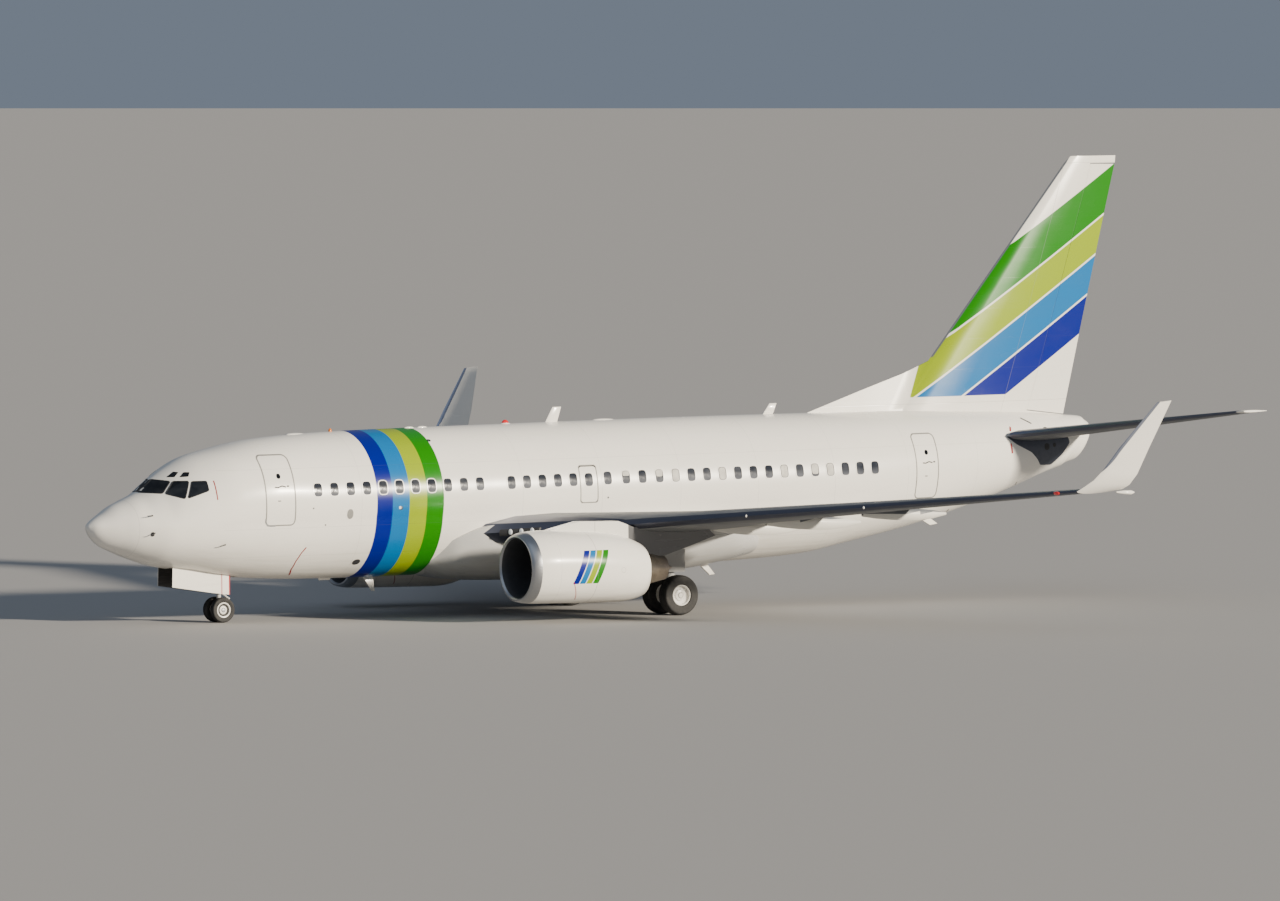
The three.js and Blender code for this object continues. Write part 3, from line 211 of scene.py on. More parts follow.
def tube_rings(path, radius, sides=12):
    """Circles of a radius, or of one radius a point, square to a path of (s, y, z) points."""
    points = place(*np.asarray(path, float).T)
    tangent = np.gradient(points, axis=0)
    tangent /= np.linalg.norm(tangent, axis=1)[:, None]
    side = np.cross(tangent, (0.12, 0.21, 0.97))
    side /= np.linalg.norm(side, axis=1)[:, None]
    angle = turn(sides)[None, :, None]
    circle = np.cos(angle) * side[:, None] + np.sin(angle) * np.cross(tangent, side)[:, None]
    return points[:, None] + np.broadcast_to(radius, len(points))[:, None, None] * circle


def smooth_rows(table, places, warp=lambda v: v):
    """All columns of a table at places of its first column, by a cubic between neighbouring rows whose
    slope at a row is the weighted harmonic mean of the slopes on its two sides, so it never overshoots."""
    x, f = warp(table[:, 0]), table[:, 1:]
    h = np.diff(x)[:, None]
    secant = np.diff(f, axis=0) / h
    left, right = secant[:-1], secant[1:]
    near, far = 2 * h[1:] + h[:-1], h[1:] + 2 * h[:-1]
    slope = np.zeros_like(f)
    with np.errstate(divide="ignore", invalid="ignore"):
        slope[1:-1] = np.where(left * right > 0, (near + far) / (near / left + far / right), 0.0)
    slope[0], slope[-1] = secant[0], secant[-1]
    q = warp(np.clip(np.asarray(places, float), table[0, 0], table[-1, 0]))
    k = np.clip(np.searchsorted(x, q) - 1, 0, len(x) - 2)
    t = ((q - x[k]) / h[k, 0])[..., None]
    step = h[k]
    return (f[k] * (1 + 2 * t) * (1 - t) ** 2 + slope[k] * step * t * (1 - t) ** 2
            + f[k + 1] * t * t * (3 - 2 * t) + slope[k + 1] * step * t * t * (t - 1))


def columns(table, places, warp=lambda v: v):
    """smooth_rows() as one upright array a column."""
    return np.moveaxis(smooth_rows(table, places, warp), -1, 0)[..., None]


# ---------------------------------------------------------------- shader maths

class Wire:
    """A shader value; an expression on it adds Math nodes."""

    def __init__(self, finish, socket):
        self.finish, self.socket = finish, socket

    def maths(self, operation, *others, clamp=False):
        sockets = dict(enumerate((self, *others)))
        return self.finish.node("ShaderNodeMath", {"operation": operation, "use_clamp": clamp}, sockets)

    def __add__(self, other): return self.maths("ADD", other)
    def __sub__(self, other): return self.maths("SUBTRACT", other)
    def __mul__(self, other): return self.maths("MULTIPLY", other)
    def __truediv__(self, other): return self.maths("DIVIDE", other)
    def __mod__(self, other): return self.maths("FLOORED_MODULO", other)
    def __rsub__(self, other): return self.maths("MULTIPLY_ADD", -1.0, other)
    def __abs__(self): return self.maths("ABSOLUTE")
    __radd__, __rmul__ = __add__, __mul__

    def clip(self): return self.maths("ADD", 0.0, clamp=True)
    def most(self, other): return self.maths("MAXIMUM", other)
    def power(self, other): return self.maths("POWER", other)
    def sine(self): return self.maths("SINE")
    def near(self, centre, half): return (1 - abs(self - centre) / half).clip()
    def step(self, start, end): return ((self - start) / (end - start)).clip()

    def within(self, start, end, edge):
        return self.step(start - edge, start + edge) * (1 - self.step(end - edge, end + edge))


class Finish:
    """A node material. Its methods add nodes and hand back a Wire of one output."""

    def __init__(self, name, slot, base=(0.8, 0.8, 0.8), roughness=0.5, metallic=0.0, **constants):
        self.slot = slot
        self.material = bpy.data.materials.new(name)
        self.material.use_nodes = True
        self.tree = self.material.node_tree
        self.shader = self.tree.nodes["Principled BSDF"]
        self.shader.inputs["Base Color"].default_value = (*base, 1)
        self.shader.inputs["Roughness"].default_value = roughness
        self.shader.inputs["Metallic"].default_value = metallic
        for key, value in constants.items():
            self.shader.inputs[key.replace("_", " ")].default_value = value

    def node(self, kind, settings=(), sockets=(), out=0):
        node = self.tree.nodes.new(kind)
        for key, value in dict(settings).items():
            setattr(node, key, value)
        for key, value in dict(sockets).items():
            if isinstance(value, Wire):
                self.tree.links.new(value.socket, node.inputs[key])
            else:
                node.inputs[key].default_value = value
        return Wire(self, node.outputs[out])

    def level(self):
        """Wires of station, distance to port and height in the aircraft's level frame."""
        split = self.node("ShaderNodeSeparateXYZ", {}, {0: self.node("ShaderNodeTexCoord", out="Object")})
        x, y, z = (Wire(self, split.socket.node.outputs[k]) for k in range(3))
        x, z = x - AXLE.x, z - AXLE.z
        return AXLE_S - x * COS + z * SIN, y, x * SIN + z * COS + AXLE_Z

    def noise(self, x, y, z, scale=1.0, detail=3.0, rough=0.55):
        at = self.node("ShaderNodeCombineXYZ", {}, {0: x, 1: y, 2: z})
        return self.node("ShaderNodeTexNoise", {}, {"Vector": at, "Scale": scale, "Detail": detail,
                                                    "Roughness": rough})

    def mix(self, share, a, b):
        """Colour from a to b by a share."""
        a, b = ((*c, 1) if isinstance(c, tuple) and len(c) == 3 else c for c in (a, b))
        return self.node("ShaderNodeMix", {"data_type": "RGBA"}, {0: share, 6: a, 7: b}, out=2)

    def link(self, wire, name):
        self.tree.links.new(wire.socket, self.shader.inputs[name])

    def colour(self, wire): self.link(wire, "Base Color")
    def roughness(self, wire): self.link(wire, "Roughness")
    def metallic(self, wire): self.link(wire, "Metallic")

    def bump(self, height, distance=0.0015, strength=0.5):
        self.link(self.node("ShaderNodeBump", {}, {"Height": height, "Distance": distance,
                                                   "Strength": strength}), "Normal")


WHITE = (0.86, 0.83, 0.765)
GRIME = (0.33, 0.30, 0.25)
SERVICE_RED = (0.34, 0.0, 0.005)
BLUE, CYAN, LIME, GREEN = (0.0, 0.006, 0.20), (0.0, 0.14, 0.38), (0.27, 0.37, 0.0), (0.008, 0.18, 0.0)
SOFT_GLOSS = {"Coat_Weight": 0.05, "Coat_Roughness": 0.1, "Specular_IOR_Level": 0.3}


def dimmed(colour, share):
    return tuple(c * share for c in colour)


def paint(name, slot, base, streak, low, high, amount, roughness=0.25, **constants):
    """A finish with its level wires, its colour and a fine noise. The colour is faintly uneven, with grime
    that streaks aft and gathers low on the aircraft."""
    finish = Finish(name, slot, base, roughness, **constants)
    s, y, z = finish.level()
    fine = finish.noise(s * 0.8, y * 2, z * 2, 1.1, 4)
    along = finish.noise(s * 0.35, y * 5, z * 5, 1.3, 5, 0.65)
    dirt = (1 - z.step(low, high)) * amount * along.step(0.3, 0.75) + along.step(0.55, 0.9) * streak
    tinted = finish.mix(fine.step(0.35, 0.7) * 0.10, base, (0.66, 0.64, 0.58))
    finish.roughness((0.2 + fine * 0.12 + dirt * 0.35).clip())
    return finish, s, y, z, finish.mix(dirt.clip(), tinted, GRIME), fine


def striped(finish, colour, t, fine, edge, bands, inside=1.0, uneven=0.2):
    """Bands of paint laid over a colour one by one: (start, end, paint) along t."""
    for start, end, band in bands:
        tone = finish.mix(fine.step(0.3, 0.8) * uneven, band, dimmed(band, 0.7))
        colour = finish.mix(t.within(start, end, edge) * inside, colour, tone)
    return colour


def body_paint():
    """Four bands round the fuselage, bent a little with height, and faint skin joints with rivets."""
    finish, s, y, z, colour, fine = paint("body_paint", "white_paint", WHITE, 0.06, 1.15, 2.4, 0.55, **SOFT_GLOSS)
    colour = striped(finish, colour, s + abs(z - 3.6).power(2) * 0.01, fine, 0.006, [
        (7.925, 8.425, BLUE), (8.412, 8.953, CYAN), (8.94, 9.503, LIME), (9.49, 10.02, GREEN)])
    hoops = ((s - 1.1) % 2.54).near(1.27, 0.011) * s.step(5.9, 6.0) * (1 - s.step(30.9, 31.0))
    laps = z.near(4.32, 0.009) + z.near(2.72, 0.009) + z.near(1.95, 0.009)
    seams = (hoops + s.near(1.1, 0.012) + s.near(31.3, 0.012) + laps * s.step(3.2, 3.4)).clip()
    rivets = ((s * 120.0).sine() * (z * 120.0).sine()).most(0) * hoops.most(laps)
    finish.colour(finish.mix(seams * 0.22, colour, (0.10, 0.095, 0.09)))
    finish.bump(fine * 0.25 - seams * 0.9 - rivets * 0.3, 0.0016)
    return finish


def plain_paint(name, slot, base, low=0.6, high=2.2, amount=0.5, streak=0.06, gloss=0.3, seam=None, dark_and_shade_from=None):
    """Gloss paint with grime; seam is the station of a joint that shows as a thin dark line. Past the station
    where the dark part starts it is dark grey: partly a darker aft fairing, partly painted shade cast by the wing."""
    finish, s, y, z, colour, fine = paint(name, slot, base, streak, low, high, amount, Coat_Weight=gloss,
                                          Coat_Roughness=0.08)
    height = fine * 0.3
    # Dark grey aft: partly the fairing's own colour, partly painted shade cast by the wing
    if dark_and_shade_from:
        colour = finish.mix(s.step(dark_and_shade_from, dark_and_shade_from + 0.02), colour, (0.075, 0.075, 0.08))
    if seam:
        line = s.near(seam, 0.012)
        colour = finish.mix(line * 0.75, colour, (0.12, 0.11, 0.10))
        height = height - line
    finish.colour(colour)
    finish.bump(height)
    return finish


def fin_paint():
    """Fin and rudder: broad slanting bands in the four colours of the fuselage, and a dark navy leading edge, painted
    shade with painted sky light on the edge that faces forward.
    """
    finish, s, y, z, colour, fine = paint("fin_paint", "white_paint", WHITE, 0.05, 4.0, 5.4, 0.3, **SOFT_GLOSS)
    inside = z.step(5.60, 5.62) * (s - z * 0.4).step(24.10, 24.12)
    colour = striped(finish, colour, z - (s - 30.0) * 0.62, fine, 0.008, [
        (5.90, 6.80, BLUE), (6.86, 7.76, CYAN), (7.82, 8.72, LIME), (8.78, 9.95, GREEN)], inside)
    # The leading edge's dark navy is painted shade, tinted as painted sky light
    edge = 1 - (s - z * 0.8508 - 21.405).step(0.05, 0.06)
    colour = finish.mix(edge * z.step(6.7, 6.75), colour, (0.10, 0.11, 0.13))
    post = s - z * 0.334
    seams = post.near(27.65, 0.012) + z.near(5.42, 0.010) + z.near(12.13, 0.012)
    ribs = ((z - 5.1) % 0.85).near(0.42, 0.006) * (1 - s.step(30.6, 30.7) * 0.4) * 0.35
    finish.colour(finish.mix((seams * 0.45 + ribs * 0.25).clip(), colour, (0.2, 0.19, 0.18)))
    finish.bump(fine * 0.25 - seams - ribs)
    return finish


def cowl_paint():
    """Cowls: a small plate of four slanting bars in the colours of the fuselage, latch seams, a round port
    and a red line."""
    finish, s, y, z, colour, fine = paint("cowl_paint", "white_paint", WHITE, 0.08, 0.5, 1.3, 0.5, **SOFT_GLOSS)
    bars = [(11.224 + 0.205 * k, 11.399 + 0.205 * k, bar) for k, bar in enumerate((BLUE, CYAN, LIME, GREEN))]
    inside = z.step(1.14, 1.15) * (1 - z.step(2.03, 2.04))
    colour = striped(finish, colour, s - z * 0.42, fine, 0.004, bars, inside, 0.0)
    seams = s.near(11.32, 0.008) * 0.5 + s.near(12.47, 0.012) + z.near(0.62, 0.01) * 0.4
    port = ((s - 13.29).power(2) + (z - 1.47).power(2)).power(0.5).near(0.07, 0.014)
    warning = (s + z * 0.52).near(12.35, 0.022) * z.step(0.70, 0.71) * (1 - z.step(1.20, 1.21))
    colour = finish.mix(warning, colour, SERVICE_RED)
    seams = seams + port * 0.6
    finish.colour(finish.mix((seams * 0.6).clip(), colour, (0.15, 0.14, 0.13)))
    finish.bump(fine * 0.25 - seams)
    return finish


def wing_paint_and_shade(name, lead, hinge, base, chords, tip):
    """Satin grey with a metal leading edge, plank joints and a line along the spar. The leading edge is dark navy:
    painted shade on the edge that faces forward, tinted as painted sky light. lead and hinge are
    (s, y, slope) of the leading edge and of the spar: s grows by slope per y. It is white beyond tip."""
    finish, s, y, z, colour, fine = paint(name, "grey_paint", base, 0.10, -1.0, 0.0, 0.0, 0.4)
    out = abs(y)
    front = s - (out - lead[1]) * lead[2] - lead[0]
    edge = 1 - front.step(chords - 0.01, chords + 0.01)
    spar = (s - (out - hinge[1]) * hinge[2] - hinge[0]).near(0, 0.012)
    mark = (front.near(chords, 0.014) + spar + (out % 1.6).near(0.8, 0.008) * 0.35).clip()
    # Dark navy on the leading edge: bare metal whose colour is painted shade and painted sky light
    colour = finish.mix(edge, colour, (0.09, 0.10, 0.14))
    colour = finish.mix(out.step(tip - 0.01, tip + 0.01), colour, WHITE)
    finish.colour(finish.mix(mark * 0.6, colour, (0.04, 0.04, 0.04)))
    finish.metallic(edge * 0.8)
    finish.roughness((0.42 - edge * 0.10 + fine * 0.1).clip())
    finish.bump(fine * 0.3 - mark)
    return finish


def nose_door_paint():
    """White outside with red lines towards the aft edge; the inner face is near black as painted shade."""
    finish, s, y, z, colour, fine = paint("nose_door_paint", "white_paint", WHITE, 0.1, 0.8, 1.7, 0.35, 0.3,
                                          Coat_Weight=0.12, Coat_Roughness=0.08)
    colour = finish.mix((s.near(3.90, 0.03) + s.step(4.115, 4.12)).clip(), colour, SERVICE_RED)
    # Near black on the inner face: painted shade inside the door
    finish.colour(finish.mix(1 - abs(y).step(0.3880, 0.3885), colour, (0.05, 0.05, 0.05)))
    finish.bump(fine * 0.3)
    return finish


def winglet_paint():
    """White, with a bare metal leading edge whose blue-grey is painted shade and painted sky light: station less a
    straight line up the edge, and a curve at its foot.
    """
    finish, s, y, z, colour, fine = paint("winglet_paint", "white_paint", WHITE, 0.05, 0.0, 0.1, 0.0,
                                          Coat_Weight=0.3, Coat_Roughness=0.08)
    foot = (4.75 - z).most(0)
    front = s - (z - 4.75) * 0.775 - 21.385 + foot.power(2) * 0.62 - foot * 0.15
    edge = 1 - front.step(0.10, 0.115)
    # Blue-grey on the bare edge: painted shade and painted sky light
    finish.colour(finish.mix(edge, colour, (0.30, 0.33, 0.42)))
    finish.metallic(edge * 0.85)
    finish.bump(fine * 0.25 + edge * 0.5)
    return finish


def metal(name, slot, base, roughness, brushed=0.1, heat=False, metallic=1.0):
    """Bare or coated metal with fine brushing, and where it is hot, brown and blue temper colours."""
    finish = Finish(name, slot, base, roughness, metallic)
    s, y, z = finish.level()
    fine = finish.noise(s * 3, y * 22, z * 22, 2.0, 4)
    broad = finish.noise(s, y, z, 2.6, 3)
    colour = finish.mix(fine.step(0.35, 0.7) * brushed, base, dimmed(base, 0.6))
    if heat:
        colour = finish.mix(broad.step(0.45, 0.65) * 0.45, colour, (0.26, 0.19, 0.12))
        colour = finish.mix(s.step(14.75, 15.2) * 0.4, colour, (0.16, 0.13, 0.16))
    finish.colour(colour)
    finish.roughness((fine * 0.25 + broad * 0.12 + roughness - 0.15).clip())
    finish.bump(fine, 0.0006, 0.4)
    return finish


def glazing():
    """Dark glass, a little lighter towards its lower edge where the cabin lining shows through."""
    finish = Finish("cabin_glazing", "glass", (0.03, 0.04, 0.05), 0.15, Specular_IOR_Level=0.1)
    s, y, z = finish.level()
    cloud = finish.noise(s * 1.4, y, z * 3, 1.3, 2)
    lining = (1 - z.step(3.60, 3.80)) * 0.75 + cloud.step(0.45, 0.7) * 0.3
    finish.colour(finish.mix(lining.clip() * 0.5, (0.02, 0.024, 0.034), (0.24, 0.25, 0.28)))
    finish.roughness(0.07 + cloud * 0.05)
    return finish


def cockpit_glazing():
    """Darker glass, with the faintest cloud."""
    finish = Finish("cockpit_glazing", "glass", (0.01, 0.013, 0.018), 0.08, Specular_IOR_Level=0.3)
    s, y, z = finish.level()
    cloud = finish.noise(s * 2, y * 2, z * 3, 1.2, 2)
    finish.colour(finish.mix(cloud.step(0.4, 0.7) * 0.6, (0.004, 0.005, 0.007), (0.02, 0.022, 0.026)))
    finish.roughness(0.06 + cloud * 0.05)
    return finish


def rubber():
    """Tyre rubber: dusty grey-black, duller on the tread."""
    finish = Finish("tyre_rubber", "tyre", (0.02, 0.02, 0.02), 0.8)
    s, y, z = finish.level()
    dust = finish.noise(s, y, z, 6.0, 5, 0.7)
    finish.colour(finish.mix(dust.step(0.4, 0.75) * 0.5, (0.016, 0.016, 0.017), (0.09, 0.085, 0.078)))
    finish.roughness(0.62 + dust * 0.3)
    finish.bump(finish.noise(s, y, z, 60.0, 2) * 0.4 + dust, 0.002)
    return finish


def dull(name, slot, base, roughness=0.6, spread=0.35):
    """A dull surface with uneven colour, such as a sealed seam, a cavity or a rubber strip."""
    finish = Finish(name, slot, base, roughness)
    s, y, z = finish.level()
    cloud = finish.noise(s, y, z, 7.0, 4)
    finish.colour(finish.mix(cloud.step(0.35, 0.7) * spread, base, dimmed(base, 0.45)))
    finish.roughness((roughness - 0.1 + cloud * 0.25).clip())
    finish.bump(cloud, 0.001, 0.4)
    return finish


def lamp(name, slot, base, glow):
    """A lens with a faint glow, ribbed inside."""
    finish = Finish(name, slot, base, 0.12, Coat_Weight=0.8, Emission_Color=(*base, 1), Emission_Strength=glow)
    s, y, z = finish.level()
    ribs = (z * 260.0).sine() * 0.5 + 0.5
    finish.colour(finish.mix(ribs * 0.4, base, dimmed(base, 0.5)))
    finish.bump(ribs, 0.001, 0.4)
    return finish


BODY_PAINT = body_paint()
FIN_PAINT = fin_paint()
COWL_PAINT = cowl_paint()
# Belly fairing: mid grey, partly its own grey paint, partly painted shade cast by the wing and the engines
FAIRING_PAINT_AND_SHADE = plain_paint("fairing_paint_and_shade", "white_paint", (0.50, 0.50, 0.49), 0.7, 2.4, 0.6, 0.12, 0.12)
WHITE_PAINT = plain_paint("trim_paint", "white_paint", WHITE, 0.4, 1.2, 0.4)
# The pylon's aft part is dark grey: partly a darker fairing, partly painted shade cast by the wing
PYLON_PAINT = plain_paint("pylon_paint", "white_paint", (0.74, 0.72, 0.66), 1.2, 2.0, 0.4, 0.15, seam=12.9,
                          dark_and_shade_from=13.95)
WINGLET_PAINT = winglet_paint()
NOSE_DOOR_PAINT = nose_door_paint()
GEAR_PAINT = plain_paint("gear_paint", "steel", (0.52, 0.53, 0.53), 0.2, 1.4, 0.7, 0.2, 0.1)
RIM_PAINT = plain_paint("rim_paint", "steel", (0.80, 0.78, 0.74), 0.0, 0.6, 0.35, 0.15, 0.1)
# Main leg doors: dark grey, painted shade under the wing over the door's own light paint
LEG_DOOR_PAINT_AND_SHADE = plain_paint("leg_door_paint_and_shade", "white_paint", (0.30, 0.30, 0.30), 0.8, 1.8, 0.5, 0.2, 0.1)
# Wing and tailplane greys are darker than their paint: painted shade under the wing, and on the tailplane also a
# painted reflection of dark ground
WING_PAINT_AND_SHADE = wing_paint_and_shade("wing_paint_and_shade", (13.93, 4.6, 0.527), (14.9, 4.6, 0.5), (0.125, 0.135, 0.15), 0.16, 17.0)
TAIL_PAINT_AND_SHADE = wing_paint_and_shade("tail_paint_and_shade", (28.51, 0.5, 0.6305), (29.6, 0.5, 0.58), (0.085, 0.092, 0.105), 0.14, 7.06)
POLISHED = metal("polished_lip", "polished_metal", (0.80, 0.81, 0.82), 0.2)
HOT_METAL = metal("hot_nozzle", "heat_stained_metal", (0.66, 0.55, 0.42), 0.36, 0.25, heat=True, metallic=0.75)
FAN_METAL = metal("fan_metal", "fan_metal", (0.30, 0.31, 0.33), 0.35)
CABIN_GLASS = glazing()
COCKPIT_GLASS = cockpit_glazing()
TYRE_RUBBER = rubber()
# Wells and tail exhaust: dark grey, partly their own finish, partly painted shade inside the recess
CAVITY = dull("cavity_grey_and_shade", "dark_metal", (0.10, 0.10, 0.095), 0.7)
SEAL = dull("seal_dark", "dark_metal", (0.03, 0.03, 0.033), 0.6)
OUTLINE = dull("outline_grey", "grey_paint", (0.24, 0.235, 0.22), 0.5)
PATCH_BLUE = dull("tail_seal_plate", "dark_metal", (0.055, 0.065, 0.095), 0.45)
RED = dull("warning_red", "dark_metal", (0.30, 0.0, 0.004), 0.5, 0.2)
LENS = lamp("clear_lens", "glass", (0.75, 0.78, 0.8), 0.15)
RED_LENS = lamp("red_lens", "glass", (0.6, 0.01, 0.01), 0.3)
AMBER_LENS = lamp("amber_lens", "glass", (0.75, 0.2, 0.01), 0.1)
BLIND = dull("window_blind", "white_paint", (0.50, 0.48, 0.43), 0.5, 0.3)
# Intake duct: near black, partly the liner's own dark grey, partly painted shade deep inside the intake
DUCT = dull("duct_liner_and_shade", "dark_metal", (0.045, 0.047, 0.052), 0.45, 0.4)
LIP_METAL = metal("lip_metal", "polished_metal", (0.42, 0.43, 0.45), 0.32)
CANOE_PAINT = plain_paint("canoe_paint", "white_paint", (0.74, 0.72, 0.66), -1.0, 0.0, 0.0, 0.15)

# ---------------------------------------------------------------- fuselage skin

# Sections: station, crown, keel, half width, height of the widest point, crease, lean, fullness above
BODY = np.array([
    [0, 2.875, 2.815, 0.04, 2.845, 0, 0, 2], [0.05, 2.955, 2.69, 0.16, 2.84, 0, 0, 2],
    [0.15, 3.035, 2.545, 0.29, 2.84, 0, 0, 2], [0.4, 3.19, 2.33, 0.49, 2.83, 0, 0, 2],
    [0.75, 3.405, 2.17, 0.735, 2.81, 0, 0, 2], [1.1, 3.55, 2.025, 0.96, 2.81, 0, 0, 2],
    [1.48, 3.735, 1.89, 1.16, 2.83, 0, 0, 1.7], [1.88, 4.065, 1.765, 1.34, 2.86, 0, 0, 1.55],
    [2.3, 4.335, 1.68, 1.47, 2.93, 0.2, 0, 1.8], [3.0, 4.655, 1.575, 1.64, 3.06, 0.5, 0, 2.1],
    [3.9, 4.86, 1.42, 1.785, 3.25, 0.8, 0, 2.35], [5.0, 5.06, 1.315, 1.862, 3.33, 1, 0, 2.25],
    [6.5, 5.17, 1.24, 1.88, 3.35, 1, 0, 2.05], [8.5, 5.225, 1.215, 1.88, 3.36, 1, 0, 2],
    [12.0, 5.25, 1.215, 1.88, 3.37, 1, 0, 2], [19.5, 5.28, 1.215, 1.88, 3.38, 1, 0, 2],
    [21.0, 5.275, 1.25, 1.88, 3.395, 1, 0, 2], [22.5, 5.27, 1.34, 1.865, 3.42, 0.9, 0, 2],
    [24.0, 5.265, 1.59, 1.8, 3.49, 0.6, 0, 2], [26.0, 5.25, 1.96, 1.63, 3.63, 0.3, 0, 2],
    [27.8, 5.205, 2.4, 1.39, 3.82, 0, 0, 2], [29.6, 5.13, 2.925, 1.08, 4.03, 0, 0, 2],
    [31.3, 4.995, 3.475, 0.69, 4.21, 0, 0, 2], [31.84, 4.92, 3.58, 0.5, 4.22, 0, 0.45, 2],
    [31.99, 4.83, 3.625, 0.44, 4.22, 0, 0.49, 2], [32.15, 4.735, 3.665, 0.395, 4.21, 0, 0.52, 2],
    [32.215, 4.645, 3.7, 0.35, 4.2, 0, 0.53, 2],
])
UPPER_RADIUS, LOWER_RADIUS, LOWER_DROP = 1.88, 1.83, 0.3
LOWER_REACH = LOWER_RADIUS + LOWER_DROP
CREASE = (UPPER_RADIUS ** 2 - LOWER_RADIUS ** 2 + LOWER_DROP ** 2) / (2 * LOWER_DROP) / LOWER_REACH


def body_rows(s):
    """The columns of BODY at stations, by cubics in the square root of the station for a round nose."""
    return np.moveaxis(smooth_rows(BODY, s, np.sqrt), -1, 0)


def lower_width(part, crease):
    """Width of the section's lower half, as a share: an ellipse, towards two arcs that meet at the crease."""
    oval = np.sqrt(np.clip(1 - part ** 2, 0, 1))
    depth = part * LOWER_REACH
    upper = np.sqrt(np.clip(UPPER_RADIUS ** 2 - depth ** 2, 0, None))
    lower = np.sqrt(np.clip(LOWER_RADIUS ** 2 - (depth - LOWER_DROP) ** 2, 0, None))
    lobe = np.where(part < CREASE, upper, lower) / UPPER_RADIUS
    return oval + crease * (lobe - oval)


def body_side(s, z):
    """Half width of the fuselage at a station and a height: a superellipse above the widest point."""
    s, z = np.broadcast_arrays(s, z)
    crown, keel, half, wide, crease, _, full = body_rows(s)
    above = np.clip((z - wide) / (crown - wide), 0, 1)
    below = np.clip((wide - z) / (wide - keel), 0, 1)
    upper = np.clip(1 - above ** full, 0, 1) ** (1 / full)
    return half * np.where(z > wide, upper, lower_width(below, crease))


def body_top(s, y):
    """Height of the fuselage's upper half over a station and a distance to the side."""
    s, y = np.broadcast_arrays(s, y)
    crown, _, half, wide, _, _, full = body_rows(s)
    return wide + (crown - wide) * np.clip(1 - np.abs(y / half) ** full, 0, 1) ** (1 / full)


def body_normal(s, z, side=1):
    """Outward normal of the skin at a station and height, in the row's frame, by small differences."""
    e = 0.004
    along = place(s + e, side * body_side(s + e, z), z) - place(s - e, side * body_side(s - e, z), z)
    up = place(s, side * body_side(s, z + e), z + e) - place(s, side * body_side(s, z - e), z - e)
    normal = np.cross(along, up) * side
    return normal / np.linalg.norm(normal, axis=-1, keepdims=True)


def on_skin(s, z, side=1, lift=0.0):
    """Points on the skin, or lifted off it."""
    points = place(s, side * body_side(s, z), z)
    return points + lift * body_normal(s, z, side) if lift else points


def body_skin():
    """Rings of the whole fuselage: above the widest point width and height are powers of cosine and sine,
    below it the height is a sine; every ring may lean, its station growing with height."""
    s = np.concatenate([
        np.linspace(0, math.sqrt(2.4), 54) ** 2, np.linspace(2.4, 5.2, 44)[1:],
        np.linspace(5.2, 21, 96)[1:], np.linspace(21, 31.3, 84)[1:], np.linspace(31.3, 32.215, 22)[1:]])
    crown, keel, half, wide, crease, lean, full = columns(BODY, s, np.sqrt)
    a = np.linspace(np.pi / 2, 0, 27)[None, :]
    upper_y, upper_z = half * np.cos(a) ** (2 / full), (crown - wide) * np.sin(a) ** (2 / full)
    steps = np.sort(np.append(np.sin(np.linspace(0, np.pi / 2, 25)[1:]), CREASE))[None, :]
    lower_y, lower_z = half * lower_width(steps, crease), -(wide - keel) * steps
    y = np.concatenate([upper_y, lower_y], 1)
    z = np.concatenate([upper_z, np.broadcast_to(lower_z, lower_y.shape)], 1)
    y[:, 0] = y[:, -1] = 0
    y = np.concatenate([y, -y[:, -2:0:-1]], 1)
    z = np.concatenate([z, z[:, -2:0:-1]], 1)
    return place(s[:, None] + lean * z, y, wide + z)


# Overwing exit: its stations and heights; the bay and the wells: half widths, stations and heights
EXIT_S, EXIT_Z, EXIT_CORNER, EXIT_THICK, EXIT_GAP = (14.39, 14.91), (3.12, 4.09), 0.07, 0.09, 0.007
NOSE_BAY = (2.36, 4.42, -0.37, 0.37, 0.9, 2.2)
WELL_Y, WELL_RADIUS, WELL_FOOT, SLOT_S, SLOT_Y = 0.8, 0.61, 0.5, (16.4, 16.82), 2.7


def corner_arcs(s0, s1, z0, z1, corner, steps):
    """Points of station and height round a rectangle, four quarter circles at its corners."""
    a = np.linspace(0, np.pi / 2, steps)
    c, n = corner * np.cos(a), corner * np.sin(a)
    return np.concatenate([
        np.stack([s1 - corner + c, z1 - corner + n], -1), np.stack([s0 + corner - n, z1 - corner + c], -1),
        np.stack([s0 + corner - c, z0 + corner - n], -1), np.stack([s1 - corner + n, z0 + corner - c], -1)])


def exit_tool(side, grow, thick, top, corner=EXIT_CORNER, finish=None):
    """Rounded upright plate over an exit's outline, from inside the skin to well outside; top is room for
    the upper edge, which swings out over the hinge."""
    inner = min(body_side(s, z) for s in EXIT_S for z in EXIT_Z) - thick
    s, z = corner_arcs(EXIT_S[0] - grow, EXIT_S[1] + grow, EXIT_Z[0] - grow, EXIT_Z[1] + grow + top, corner, 7).T
    return cutter(np.stack([place(s, side * inner, z), place(s, side * 2.4, z)]), finish)


def well_tools(top, slot_top):
    """The main wheel wells and the slots of the legs beside them, on both sides."""
    tools = []
    for side, _ in SIDES:
        y = side * WELL_Y
        tools.append(cutter(rod_rings((AXLE_S, y, WELL_FOOT), (AXLE_S, y, top), WELL_RADIUS, 48), CAVITY))
        tools.append(cutter(block_rings(*SLOT_S, *sorted((y, side * SLOT_Y)), WELL_FOOT, slot_top), CAVITY))
    return tools


